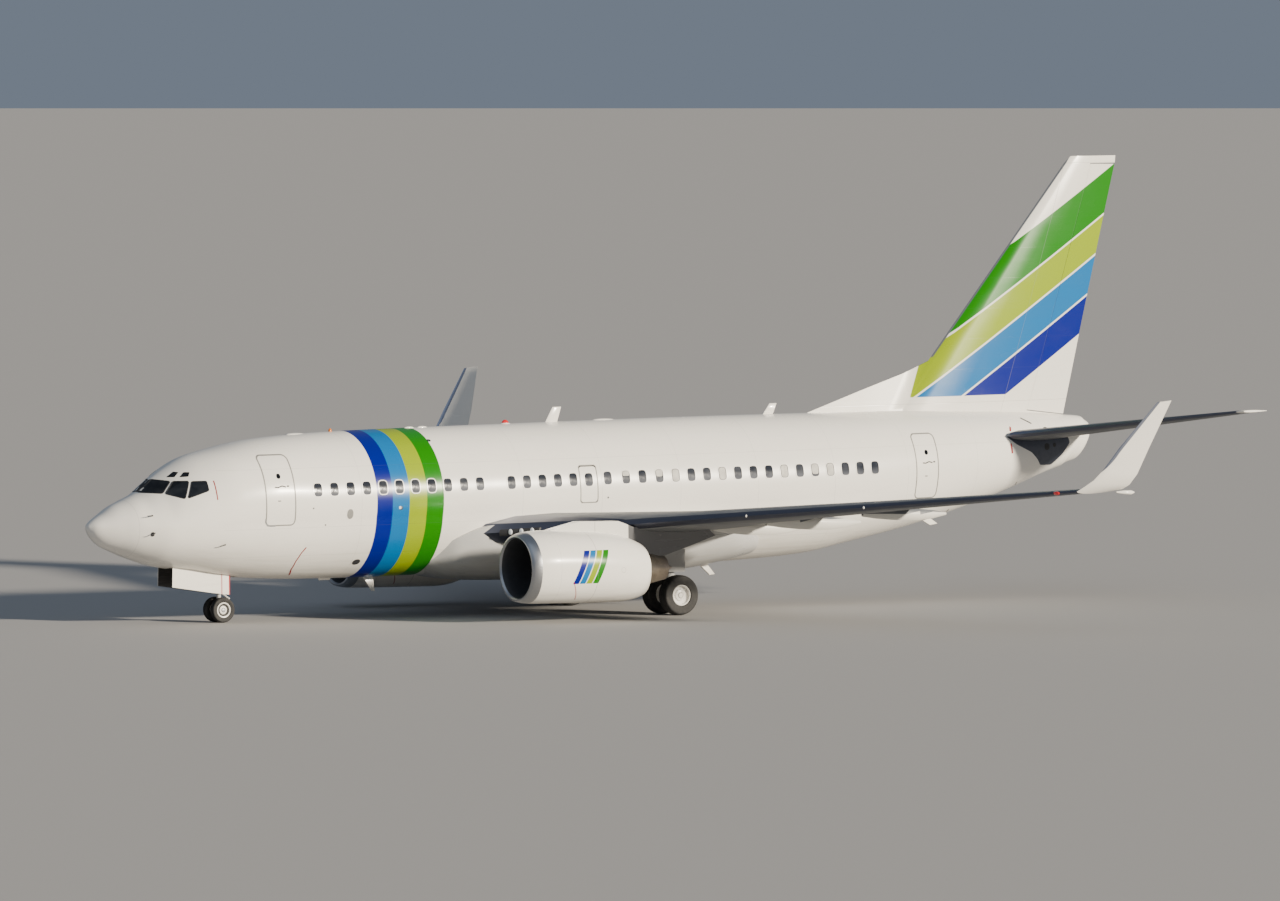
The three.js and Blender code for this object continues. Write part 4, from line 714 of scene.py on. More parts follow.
def make_fuselage():
    rings = body_skin()
    skin = Shape().loft(rings).make(
        "fuselage_skin", BODY_PAINT, "airframe", 28,
        replaces=("fuselage", "radome", "tail_cone", "entry_door_front", "service_door_front",
                  "entry_door_rear", "service_door_rear", "cargo_door_front", "cargo_door_rear"))
    for side, label in SIDES:
        exit_name = f"overwing_exit_{label}"
        panel = Shape().loft(rings).make(f"exit_panel_{label}", BODY_PAINT, exit_name, 28, replaces=(exit_name,))
        carve(panel, [exit_tool(side, 0, EXIT_THICK, -0.004)], "INTERSECT")
    tools = [exit_tool(side, EXIT_GAP, EXIT_THICK + 0.01, 0.012, 0.04, SEAL) for side, _ in SIDES]
    tools += [cutter(block_rings(*NOSE_BAY), WHITE_PAINT), *well_tools(1.76, 1.5)]
    tools.append(cutter(rod_rings((31.7, 0, 4.19), (32.9, 0, 4.19), 0.17), CAVITY))
    carve(skin, tools)


# ---------------------------------------------------------------- plates and lines on the skin

def round_box(a, b, steps=24, square=5.0):
    """Points round a rectangle with round corners: powers of cosine and sine."""
    c, n = np.cos(turn(steps)), np.sin(turn(steps))
    return a * np.sign(c) * np.abs(c) ** (2 / square), b * np.sign(n) * np.abs(n) ** (2 / square)


def even_steps(points, step, closed=True):
    """A line resampled at equal lengths of about step."""
    points = np.asarray(points, float)
    if closed:
        points = np.concatenate([points, points[:1]])
    length = np.concatenate([[0], np.cumsum(np.linalg.norm(np.diff(points, axis=0), axis=1))])
    count = max(int(round(length[-1] / step)), 3)
    at = np.linspace(0, length[-1], count + 1)
    at = at[:-1] if closed else at
    return np.stack([np.interp(at, length, points[:, k]) for k in range(points.shape[1])], -1)


def rounded(s0, s1, z0, z1, corner, step=0.045):
    """Outline of a rectangle with round corners, in even steps."""
    return even_steps(corner_arcs(s0, s1, z0, z1, corner, 9), step)


def skin_line(shape, path, width, side, lift=0.004, step=0.05):
    """A narrow raised line over the skin through points of station and height."""
    points = even_steps(path, step, closed=False)
    skin_band(shape, points[:, 0], points[:, 1], width, side, lift, closed=False)


def skin_patch(shape, s, z, a, b, side, lift, steps=24, square=5.0, rounds=3, dome=0.0):
    """A shallow plate that follows the skin, crowned over its edge by a square root."""
    u, v = round_box(a, b, steps, square)
    r = np.sqrt(np.linspace(1, 0.02, rounds))[:, None]
    heights = lift + dome * np.sqrt(1 - r ** 2)
    rings = on_skin(s + u * r, z + v * r, side)
    rings = rings + heights[..., None] * body_normal(s + u * r, z + v * r, side)
    edge = on_skin(s + u, z + v, side, -0.004)[None]
    shape.sheet(np.concatenate([edge, rings]), body_normal(s, z, side))


def skin_band(shape, s, z, width, side, lift, closed=True):
    """A narrow raised band along a line on the skin: inner edge, two crown lines and outer edge."""
    if closed:
        ds, dz = (np.roll(v, -1) - np.roll(v, 1) for v in (s, z))
    else:
        ds, dz = np.gradient(s), np.gradient(z)
    size = np.hypot(ds, dz)
    ns, nz = dz / size, -ds / size
    rings = np.stack([on_skin(s + ns * width * across, z + nz * width * across, side, up)
                      for across, up in ((-0.5, -0.003), (-0.35, lift), (0.35, lift), (0.5, -0.003))], 1)
    if closed:
        rings = np.concatenate([rings, rings[:1]])
    shape.add(rings, grid_faces(*rings.shape[:2]), outward=body_normal(s.mean(), z.mean(), side))


# Cabin window: half length, half height, height of its middle. The stations of the windows outside the
# exits, and of some by their number the share of the pane that its blind covers
WINDOW_S, WINDOW_Z, WINDOW_HEIGHT = 0.125, 0.175, 3.73
WINDOWS = [*(6.10 + 0.508 * np.arange(11)), *(12.18 + 0.493 * np.arange(5)), 15.26, 15.85, 16.38, 16.93,
           *(17.46 + 0.508 * np.arange(14))]
BLINDS = {17: 0.4, 19: 0.55, 20: 1, 23: 1, 27: 1, 29: 0.85, 30: 1}


def make_window(glass, rims, blinds, s, z, side, shut):
    """One window: a pane, the white ring round it, and a blind over the upper part of the pane."""
    skin_patch(glass, s, z, WINDOW_S, WINDOW_Z, side, 0.004, 20, 3.6)
    outline = even_steps(np.stack(round_box(WINDOW_S + 0.016, WINDOW_Z + 0.016, 40, 3.6), -1), 0.05)
    skin_band(rims, s + outline[:, 0], z + outline[:, 1], 0.032, side, 0.007)
    if shut:
        drop = WINDOW_Z * 0.93 * shut
        skin_patch(blinds, s, z + WINDOW_Z * 0.93 - drop, WINDOW_S * 0.86, drop, side, 0.009, 16, 4.0, 2)


def make_windows():
    for side, label in SIDES:
        glass, rims, blinds = Shape(), Shape(), Shape()
        for k, s in enumerate(WINDOWS):
            rise = 0.03 * np.clip((s - 12) / 4, 0, 1)
            shut = BLINDS.get(k if side > 0 else (k - 7) % len(WINDOWS), 0)
            make_window(glass, rims, blinds, s, WINDOW_HEIGHT + rise, side, shut)
        glass.make(f"cabin_windows_{label}", CABIN_GLASS, "airframe")
        rims.make(f"cabin_window_rims_{label}", WHITE_PAINT, "airframe")
        blinds.make(f"window_blinds_{label}", BLIND, "airframe")
        pane, rim = Shape(), Shape()
        make_window(pane, rim, None, sum(EXIT_S) / 2, WINDOW_HEIGHT, side, 0)
        pane.make(f"exit_window_{label}", CABIN_GLASS, f"overwing_exit_{label}")
        rim.make(f"exit_window_rim_{label}", WHITE_PAINT, f"overwing_exit_{label}")


# Cockpit panes and eyebrow panes: corners in station and height
PANES = {
    "windscreen": [(1.507, 3.755), (1.915, 3.73), (2.2, 4.05), (1.925, 4.09)],
    "side_window_front": [(1.96, 3.722), (2.33, 3.588), (2.57, 4.056), (2.245, 4.049)],
    "side_window_rear": [(2.395, 3.6), (2.96, 3.8), (2.97, 4.053), (2.62, 4.045)],
}
EYEBROWS = [
    [(2.191, 4.152), (2.332, 4.154), (2.484, 4.281), (2.406, 4.295)],
    [(2.427, 4.154), (2.614, 4.17), (2.695, 4.283), (2.578, 4.283)],
]


def four_sided(corners, steps=12, soft=0.12):
    """Outline of a four-sided pane with round corners: each corner cut by a quadratic curve."""
    corners = np.array(corners, float)
    t = np.linspace(0, 1, steps)[:, None]
    parts = []
    for k in range(4):
        a, b, c = corners[k - 1], corners[k], corners[(k + 1) % 4]
        start, end = b + (a - b) * soft, b + (c - b) * soft
        parts.append((1 - t) ** 2 * start + 2 * t * (1 - t) * b + t ** 2 * end)
        parts.append(end + (c + (b - c) * soft - end) * np.linspace(0, 1, steps)[1:-1, None])
    return np.concatenate(parts)


def pane_patch(shape, corners, side, lift=0.005):
    """A pane that follows the skin: its outline drawn in towards its middle in rings."""
    outline = four_sided(corners)
    middle = outline.mean(0)
    shape.sheet(np.stack([on_skin(*(middle + (outline - middle) * r).T, side, up) for r, up in (
        (1.0, -0.003), (0.985, lift), (0.7, lift), (0.4, lift), (0.12, lift))]), body_normal(*middle, side))


def make_cockpit():
    frames, brows = Shape(), Shape()
    for side, label in SIDES:
        for name, corners in PANES.items():
            pane = Shape()
            pane_patch(pane, corners, side)
            pane.make(f"{name}_pane_{label}", COCKPIT_GLASS, "airframe", replaces=(f"{name}_{label}",))
            skin_band(frames, *four_sided(corners).T, 0.02, side, 0.009)
        for corners in EYEBROWS:
            pane_patch(brows, corners, side)
    frames.make("cockpit_window_seals", SEAL, "airframe")
    brows.make("eyebrow_windows", COCKPIT_GLASS, "airframe")


# Doors: side, station and height limits, corner radius
DOORS = [
    (1, 4.51, 5.39, 2.81, 4.69, 0.13), (-1, 4.56, 5.32, 2.81, 4.54, 0.13), (1, 25.53, 26.31, 2.84, 4.64, 0.13),
    (-1, 25.53, 26.29, 2.84, 4.49, 0.13), (-1, 7.50, 8.72, 1.62, 2.52, 0.09), (-1, 22.05, 23.27, 1.83, 2.68, 0.09),
]
# Door ports: side, station, height
PORTS = [(1, 4.95, 4.13), (-1, 4.94, 4.05), (1, 25.92, 4.12), (-1, 25.91, 4.02)]


def make_doors():
    seams, ports, trim, scuff = Shape(), Shape(), Shape(), Shape()
    for side, s0, s1, z0, z1, corner in DOORS:
        skin_band(seams, *rounded(s0, s1, z0, z1, corner).T, 0.042, side, 0.004)
    for side, s, z in PORTS:
        skin_patch(ports, s, z, 0.06, 0.07, side, 0.004, 20, 2.2)
        skin_line(trim, [(s - 0.16, z - 0.29), (s - 0.06, z - 0.30), (s + 0.06, z - 0.26), (s + 0.17, z - 0.29)],
                  0.035, side, 0.014, 0.02)
        skin_patch(trim, s + 0.24, z - 0.27, 0.035, 0.02, side, 0.008, 16, 3.0)
        skin_patch(trim, s - 0.05, z - 0.66, 0.05, 0.012, side, 0.004, 16, 3.0)
    for side, _ in SIDES:
        skin_line(scuff, [(4.50, 3.00), (4.505, 2.90), (4.56, 2.815), (4.66, 2.80), (4.80, 2.80)], 0.05, side,
                  0.006, 0.03)
        skin_band(seams, *rounded(EXIT_S[0] - 0.021, EXIT_S[1] + 0.021, EXIT_Z[0] - 0.021, EXIT_Z[1] + 0.033,
                                  EXIT_CORNER, 0.03).T, 0.026, side, 0.003)
    seams.make("door_seams", OUTLINE, "airframe")
    trim.make("door_handles", SEAL, "airframe")
    ports.make("door_ports", COCKPIT_GLASS, "airframe")
    scuff.make("door_sill_plates", POLISHED, "airframe")


# ---------------------------------------------------------------- belly fairing

# Sections: station, half width, foot, top
FAIRING = np.array([
    [9.98, 1.23, 1.34, 1.9], [10.6, 1.74, 1.13, 2.3], [11.5, 2.01, 1.03, 2.6], [13.0, 2.16, 0.985, 2.72],
    [15.0, 2.19, 0.98, 2.72], [17.4, 2.17, 0.99, 2.7], [18.5, 2.09, 1.075, 2.62], [19.5, 1.9, 1.225, 2.25],
    [20.4, 1.45, 1.38, 1.95],
])


def make_fairing():
    """Rings open upwards: width a power of the sine, depth a power of the cosine."""
    s = np.linspace(FAIRING[0, 0], FAIRING[-1, 0], 90)
    half, low, high = columns(FAIRING, s)
    a = np.linspace(-np.pi / 2, np.pi / 2, 61)
    y = np.sign(a) * np.abs(np.sin(a)) ** 0.75 * half
    z = high - np.clip(np.cos(a), 0, 1) ** 0.75 * (high - low)
    fairing = Shape().loft(place(s[:, None], y, z)).make(
        "belly_fairing_skin", FAIRING_PAINT_AND_SHADE, "airframe", 28, replaces=("belly_fairing",))
    carve(fairing, well_tools(1.755, 1.495))


# ---------------------------------------------------------------- engines

# Nacelle: station, top, bottom, half width. Ducts: station, radius, height of the axis. Core: station, radius
ENGINE_Y, AXIS_Z = 4.83, 1.58
NACELLE = np.array([
    [10.49, 2.43, 0.71, 0.865], [10.55, 2.488, 0.662, 0.925], [10.75, 2.545, 0.622, 0.99],
    [11.31, 2.575, 0.6, 1.04], [12.47, 2.53, 0.575, 1.05], [13.58, 2.405, 0.556, 0.985],
    [14.08, 2.24, 0.615, 0.89], [14.28, 2.155, 0.675, 0.825],
])
INTAKE = np.array([[10.48, 0.85, 1.57], [10.55, 0.808, 1.575], [10.7, 0.768, 1.58], [10.95, 0.75, 1.58],
                   [11.35, 0.775, 1.58], [12.47, 0.775, 1.58]])
BYPASS = np.array([[12.46, 0.84, 1.57], [13.3, 0.812, 1.54], [13.88, 0.74, 1.462], [14.29, 0.685, 1.422]])
CORE = np.array([[11.78, 0.7743], [12.47, 0.7743], [12.9, 0.76], [13.15, 0.64], [13.8, 0.59], [14.28, 0.51],
                 [14.8, 0.4], [15.15, 0.33]])
ROUND = turn(96)
# Stations of the joints between lip, cowl, sleeve and nozzle; the core's axis drops between two of them
LIP_END, COWL_END, SLEEVE_END, CORE_END, NOZZLE_END, CORE_DROP = 10.75, 12.47, 14.28, 14.8, 15.15, 0.15
JOINT = 0.0003
FAN_S, SPINNER_TIP, FAN_SHAFT, BLADES, BLADE_ROOT, BLADE_TIP = 11.45, 0.445, 0.09, 24, 0.16, 0.757


def cowl_ring(s, side):
    """Nacelle section: an ellipse above its widest point, squarer below it."""
    top, bottom, half = columns(NACELLE, s)
    middle = (top + bottom) / 2 + 0.06
    c, n = np.cos(ROUND), np.sin(ROUND)
    power = np.where(n < 0, 0.86, 1.0)
    y = np.sign(c) * np.abs(c) ** power * half
    z = np.sign(n) * np.abs(n) ** power * np.where(n < 0, middle - bottom, top - middle)
    return place(s[:, None], side * (ENGINE_Y + y), middle + z)


def round_rings(s, radius, centre, side):
    """Circles about an engine's axis: stations, and for each a radius and a height of the middle."""
    radius, centre = np.reshape(radius, (-1, 1)), np.reshape(centre, (-1, 1))
    return place(s[:, None], side * (ENGINE_Y + radius * np.cos(ROUND)), centre + radius * np.sin(ROUND))


def make_nacelle(side, label):
    """Each shell is one closed strip: aft along the outside and forward again along the duct."""
    spans = [("intake_lip", 10.492, LIP_END, INTAKE, LIP_METAL),
             ("fan_cowl", LIP_END + JOINT, COWL_END, INTAKE, COWL_PAINT),
             ("thrust_sleeve", COWL_END + JOINT, SLEEVE_END, BYPASS, COWL_PAINT)]
    for name, start, end, duct, finish in spans:
        s = start + (end - start) * np.linspace(0, 1, 26) ** (1.6 if name == "intake_lip" else 1.0)
        rings = np.concatenate([cowl_ring(s, side), round_rings(s, *columns(duct, s), side)[::-1]])
        looks = np.repeat([0, 1], 26)
        if name == "intake_lip":
            nose = (rings[0] + rings[-1]) / 2 + (place(10.4905, 0, 0) - place(10.492, 0, 0))
            rings = np.concatenate([rings, nose[None]])
            looks = np.concatenate([looks, [0]])
            looks[42:52] = 0
        # Duct faces take the near-black liner finish, partly painted shade inside the intake
        Shape().torus(rings, looks).make(f"{name}_shell_{label}", finish, "airframe", 40, also=(DUCT,),
                                         replaces=(f"{name}_{label}",))


def core_centre(s):
    """Height of the core's axis, which bends down smoothly behind the fan."""
    t = np.clip((s - COWL_END) / (CORE_END - COWL_END), 0, 1)
    return AXIS_Z - CORE_DROP * t * t * (3 - 2 * t)


def make_core(side, label):
    """The core's cowl, then the nozzle as one closed strip out and back, round its plug."""
    s = np.linspace(CORE[0, 0], CORE_END, 60)
    Shape().loft(round_rings(s, columns(CORE, s)[0], core_centre(s), side)).make(
        f"core_cowl_{label}", HOT_METAL, "airframe", replaces=(f"engine_core_{label}",))
    out, back = np.linspace(CORE_END + JOINT, NOZZLE_END, 14), np.linspace(NOZZLE_END, 14.87, 12)
    s = np.concatenate([out, back])
    radius = np.concatenate([np.interp(part, [CORE_END, NOZZLE_END], radii)
                             for part, radii in ((out, [0.4, 0.33]), (back, [0.375, 0.312]))])
    nozzle = Shape().torus(round_rings(s, radius, core_centre(s), side))
    t = np.linspace(0, 1, 24)
    s = CORE_END + JOINT + 0.63 * t
    nozzle.loft(round_rings(s, 0.265 - 0.245 * t ** 1.25, core_centre(s), side))
    nozzle.make(f"exhaust_cone_{label}", HOT_METAL, "airframe", replaces=(f"exhaust_nozzle_{label}",))


def make_fan(side, label):
    """Spinner of revolution, and blades that twist from root to tip and thin towards their edges."""
    y = side * ENGINE_Y
    fan = Shape()
    t = np.linspace(0, 1, 30)
    profile_s = np.concatenate([FAN_S - SPINNER_TIP + 0.345 * t ** 1.4, [FAN_S + 0.07, FAN_S + 0.07]])[:, None]
    profile_r = np.concatenate([0.23 * np.sqrt(np.clip(t, 0.0004, 1)) ** 1.15, [0.19, FAN_SHAFT]])[:, None]
    fan.loft(place(profile_s, y + profile_r * np.cos(turn(64)), AXIS_Z + profile_r * np.sin(turn(64))))
    fan.loft(rod_rings((FAN_S + 0.04, y, AXIS_Z), (FAN_S + 0.43, y, AXIS_Z), FAN_SHAFT))
    r = np.linspace(BLADE_ROOT, BLADE_TIP, 10)[:, None]
    across = np.linspace(-0.5, 0.5, 9)
    stagger = np.radians(np.interp(r, [BLADE_ROOT, BLADE_TIP], [12, 56]))
    chord = np.interp(r, [BLADE_ROOT, 0.4, BLADE_TIP], [0.13, 0.17, 0.155])
    camber = 0.014 * (1 - 4 * across ** 2)
    thick = 0.007 * np.sqrt(np.clip(1 - 4 * across ** 2, 0, 1)) + 0.001
    loop_c = np.concatenate([across, across[::-1]]) * chord
    loop_t = np.concatenate([camber + thick, (camber - thick)[::-1]])
    ds = -0.015 + loop_c * np.cos(stagger) - loop_t * np.sin(stagger)
    dt = loop_c * np.sin(stagger) + loop_t * np.cos(stagger)
    for angle in turn(BLADES):
        c, n = np.cos(angle), np.sin(angle)
        fan.loft(place(FAN_S + ds, y + r * c - dt * n, AXIS_Z + r * n + dt * c))
    fan.make(f"fan_rotor_{label}", FAN_METAL, f"fan_{label}", replaces=(f"fan_{label}",))


# ---------------------------------------------------------------- copies of solids, made smooth

def level_of(points):
    """Station, distance to the side and height of points of the row's frame."""
    ahead, above = points[:, 0] - AXLE.x, points[:, 2] - AXLE.z
    return AXLE_S - ahead * COS + above * SIN, np.abs(points[:, 1]), AXLE_Z + ahead * SIN + above * COS


def smooth_copy(node, name, finish, body, also=(), where=None, moved=lambda points: points):
    """A copy of a solid's mesh with its doubled points merged, soft below 32 degrees; where gives the number
    of the finish from the middles of the faces, moved gives the points in their new places."""
    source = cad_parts[node].data
    points = np.empty(len(source.vertices) * 3, np.float32)
    source.vertices.foreach_get("co", points)
    loops = np.empty(len(source.loops), np.int32)
    source.loops.foreach_get("vertex_index", loops)
    keys, index = np.unique(np.round(points.reshape(-1, 3) * 2e4).astype(np.int64), axis=0, return_inverse=True)
    faces = index.reshape(-1)[loops].reshape(-1, 3)
    faces = faces[(faces != np.roll(faces, 1, axis=1)).all(1)]
    points = moved(keys / 2e4)
    looks = where(points[faces].mean(1)) if where else None
    mesh = new_mesh(name, points, faces.tolist())
    dress_mesh(mesh, name, finish, body, 32, also=also, replaces=(node,), looks=looks)


# Flap track fairings: distance to the side, half width, first and last station
CANOES = [(4.72, 0.20, 16.85, 19.75), (6.95, 0.19, 17.15, 20.2), (9.95, 0.18, 18.3, 21.0)]


def on_canoe(centres):
    """1 for faces of a flap track fairing: close to its middle plane and below the wing's lower face."""
    s, out, z = level_of(centres)
    looks = np.zeros(len(centres), int)
    for y, half, start, end in CANOES:
        looks |= (np.abs(out - y) < half) & (s > start - 0.1) & (s < end + 0.1) & (z < wing_edge(y)[1] - 0.15)
    return looks


# Tailplane: station and height of its pivot, range of its trim, room between its root and the skin
PIVOT_S, PIVOT_Z, TRIM, ROOT_ROOM = 30.9, 4.48, (-4.2, 12.9), 0.022


def off_the_skin(points):
    """The tailplane's root face moved outboard where the smooth skin would come too near at a trim; the
    inner end of its shaft stays."""
    s, out, z = level_of(points)
    trims = np.radians(np.linspace(*TRIM, 10))[:, None]
    aft, above = s - PIVOT_S, z - PIVOT_Z
    skin = body_side(PIVOT_S + aft * np.cos(trims) - above * np.sin(trims),
                     PIVOT_Z + aft * np.sin(trims) + above * np.cos(trims)).max(0)
    root = (out > 0.3) & (out < 1.2)
    points[:, 1] += np.sign(points[:, 1]) * np.where(root, np.maximum(skin + ROOT_ROOM - out, 0), 0)
    return points


# Solids copied on both sides: node, piece, finish, body
COPIES = [
    ("flap_inboard", "inner_flap", WING_PAINT_AND_SHADE, "airframe"), ("flap_outboard", "outer_flap", WING_PAINT_AND_SHADE, "airframe"),
    ("aileron", "aileron_skin", WING_PAINT_AND_SHADE, "aileron_{}"), ("winglet", "winglet_skin", WINGLET_PAINT, "airframe"),
    ("elevator", "elevator_skin", TAIL_PAINT_AND_SHADE, "elevator_{}"), ("pylon", "pylon_skin", PYLON_PAINT, "airframe"),
    ("main_leg", "main_strut", GEAR_PAINT, "airframe"),
    ("main_leg_door", "main_strut_door", LEG_DOOR_PAINT_AND_SHADE, "airframe"),
    ("nose_door", "nose_bay_door", NOSE_DOOR_PAINT, "airframe"),
]


def make_surfaces():
    for node, name, finish, body in COPIES:
        for _, label in SIDES:
            smooth_copy(f"{node}_{label}", f"{name}_{label}", finish, body.format(label))
    for _, label in SIDES:
        smooth_copy(f"wing_{label}", f"wing_panel_{label}", WING_PAINT_AND_SHADE, "airframe", (CANOE_PAINT,), on_canoe)
        smooth_copy(f"stabiliser_{label}", f"tailplane_{label}", TAIL_PAINT_AND_SHADE, "stabiliser", moved=off_the_skin)
    smooth_copy("fin", "fin_skin", FIN_PAINT, "airframe")
    smooth_copy("rudder", "rudder_skin", FIN_PAINT, "rudder")
    smooth_copy("nose_leg", "nose_strut", GEAR_PAINT, "airframe")
    smooth_copy("nose_steering", "nose_lower_strut", GEAR_PAINT, "nose_steering")


# ---------------------------------------------------------------- wheels

def lathe(shape, s, y, z, profile, steps=72):
    """A closed profile of (radius, distance to port) turned about the axle line."""
    radius, across = np.array(profile, float).T
    angle = turn(steps)[:, None]
    shape.torus(place(s + radius * np.cos(angle), y + across, z + radius * np.sin(angle)))


def tyre_profile(radius, width, rim, grooves):
    """Tyre section: a superellipse from bead to tread, with square grooves cut into the tread."""
    half = width / 2
    a = np.linspace(-1, 1, 41) * 0.93 * np.pi / 2
    middle = (radius + rim) / 2
    across = half * np.sign(a) * np.abs(np.sin(a)) ** 0.8
    height = middle + (radius - middle) * np.cos(a) ** 0.38
    points = []
    for y, r in zip(across, height):
        cut = min((abs(y - g) for g in grooves), default=1.0)
        points.append((r - (0.011 if cut < 0.006 else 0), y))
    return [(rim, -half * 0.78), (rim + 0.02, -half * 0.93), *points, (rim + 0.02, half * 0.93), (rim, half * 0.78)]


def make_wheel(tyre, rim, hub, s, y, z, radius, width, rim_radius, out, bolts):
    """Tyre, dished rim with a raised flange, and a hub cap on the outer side. Rim and hub are lists of
    (share of the rim's radius, metres added, share of the half width)."""
    lathe(tyre, s, y, z, tyre_profile(radius, width, rim_radius, [f * width for f in (-0.26, -0.09, 0.09, 0.26)]), 96)

    def section(*rows):
        return [(rim_radius * share + added, out * width / 2 * across) for share, added, across in rows]

    lathe(rim, s, y, z, section(
        (1, 0.004, 0.80), (1, -0.006, 0.86), (1, -0.03, 0.80), (1, -0.04, 0.45), (0.62, 0, 0.30), (0.52, 0, 0.52),
        (0.30, 0, 0.56), (0.30, 0, -0.50), (1, -0.04, -0.60), (1, 0.004, -0.80)))
    lathe(hub, s, y, z, section((0, 0.001, 0.66), (0.22, 0, 0.64), (0.29, 0, 0.50), (0.29, 0, -0.45),
                                (0, 0.001, -0.45)), 36)
    if bolts:
        lathe(tyre, s, y, z, section((0.80, 0, 0.60), (0.60, 0, 0.56), (0.60, 0, 0.25), (0.80, 0, 0.25)), 48)
    for k in range(bolts):
        angle = 2 * np.pi * (k + 0.5) / bolts
        (r, inner), (_, outer) = section((0.74, 0, 0.28), (0.74, 0, 0.42))
        at = s + r * math.cos(angle), z + r * math.sin(angle)
        hub.loft(rod_rings((at[0], y + inner, at[1]), (at[0], y + outer, at[1]), rim_radius * 0.085, 14))


# Wheel pairs: body, station, distance to port, height, radius, width, rim radius, half spacing, axle, bolts
WHEELS = [("nose_wheels", NOSE_S, 0.0, NOSE_Z, NOSE_TYRE, 0.197, 0.205, 0.2, 0.032, 8),
          ("main_wheels_left", AXLE_S, 2.86, AXLE_Z, AXLE_Z, 0.406, 0.285, 0.43, 0.06, 0),
          ("main_wheels_right", AXLE_S, -2.86, AXLE_Z, AXLE_Z, 0.406, 0.285, 0.43, 0.06, 0)]


def make_wheels():
    for name, s, y, z, radius, width, rim_radius, offset, axle, bolts in WHEELS:
        tyre, rim, hub = Shape(), Shape(), Shape()
        for out in (1, -1):
            make_wheel(tyre, rim, hub, s, y + out * offset, z, radius, width, rim_radius, out, bolts)
        hub.loft(rod_rings((s, y - offset, z), (s, y + offset, z), axle))
        tyre.make(f"{name}_tyres", TYRE_RUBBER, name, replaces=(name,))
        rim.make(f"{name}_rims", RIM_PAINT, name)
        hub.make(f"{name}_hubs", FAN_METAL if bolts else RIM_PAINT, name, slot="steel")


# ---------------------------------------------------------------- small fittings

def blade(shape, outline, thick):
    """A thin aerofoil-like plate over an outline in station and height, standing in the middle plane."""
    outline = np.array(outline, float)
    middle = outline.mean(0)
    rings = []
    for across, grow in ((-1, 0.86), (-0.55, 0.97), (0, 1.0), (0.55, 0.97), (1, 0.86)):
        s, z = (middle + (outline - middle) * grow).T
        rings.append(place(s, across * thick / 2, z))
    shape.loft(np.stack(rings))


def mound(shape, centre, size, axis=(0, 0, 1)):
    """Half an ellipsoid on a surface point (s, y, z), its height along an axis of the row's frame."""
    axis = np.array(axis, float) / np.linalg.norm(axis)
    guide = np.array([0, 0, 1.0] if abs(axis[0]) > 0.9 else [1.0, 0, 0])
    ahead = guide - guide @ axis * axis
    ahead /= np.linalg.norm(ahead)
    across = np.cross(axis, ahead)
    lift = np.linspace(-0.15, np.pi / 2 * 0.96, 8)[:, None, None]
    round_it = turn(20)[None, :, None]
    points = (np.cos(lift) * (np.cos(round_it) * size[0] * ahead + np.sin(round_it) * size[1] * across)
              + np.sin(lift) * size[2] * axis)
    shape.loft(place(*centre) + points)


def probe(shape, s, z, side, length, drop=0.0):
    """An air-data tube: a short foot standing off the skin, then a tube pointing forward."""
    y = float(body_side(s, z))
    path = [(0.05, -0.01, 0), (0.03, 0.05, 0), (-0.02, 0.085, drop / 3), (-length / 2, 0.09, drop),
            (-length, 0.09, drop)]
    path = [(s + aft, side * (y + off), z - down) for aft, off, down in path]
    shape.loft(tube_rings(path, [0.022, 0.018, 0.015, 0.012, 0.007], 10))


# Low domes on the crown: station, distance to port, length, width, height
DOMES = [(6.46, 0.0, 0.30, 0.13, 0.045), (9.98, 0.1, 0.16, 0.05, 0.05), (10.39, 0.1, 0.16, 0.05, 0.05),
         (16.26, 0.0, 0.36, 0.12, 0.05)]
# Small plates on both sides: piece, station, height, half length, half height, lift, points round, power
PLATES = [
    ("dark", 1.415, 2.672, 0.045, 0.06, 0.012, 16, 2.2), ("grey", 7.09, 3.047, 0.095, 0.135, 0.006, 24, 2.2),
    ("dark", 7.61, 1.706, 0.115, 0.075, 0.005, 20, 2.2), ("dark", 8.67, 3.158, 0.055, 0.055, 0.004, 16, 2.2),
    ("white", 8.64, 3.17, 0.035, 0.04, 0.008, 16, 3.0), ("dark", 5.94, 3.24, 0.02, 0.02, 0.004, 12, 2.2),
    ("dark", 6.34, 2.775, 0.02, 0.02, 0.004, 12, 2.2), ("dark", 10.04, 4.92, 0.06, 0.03, 0.004, 12, 2.2),
    ("dark", 15.25, 3.22, 0.025, 0.025, 0.004, 12, 2.2),
]
# Red lines on both sides: points of station and height, width, lift, step
MARKS = [
    ([(3.14, 4.06), (3.135, 3.55)], 0.035, 0.004, 0.05),
    ([(5.83, 1.40), (5.72, 1.55), (5.70, 1.80), (5.76, 2.02), (5.86, 2.18)], 0.038, 0.004, 0.05),
    ([(29.21, 4.72), (29.15, 4.60)], 0.07, 0.0015, 0.03), ([(29.06, 4.26), (29.09, 3.98)], 0.08, 0.0015, 0.03),
]
# Seal plates below the tailplane: outline and middle in station and height, lift
SEAL_OUTLINE = [(28.93, 4.46), (29.27, 4.23), (29.85, 3.98), (30.12, 3.77), (30.29, 3.60), (30.80, 3.58),
                (31.15, 3.88), (31.42, 4.22), (31.30, 4.44)]
SEAL_MIDDLE, SEAL_LIFT = np.array([30.3, 4.15]), 0.003


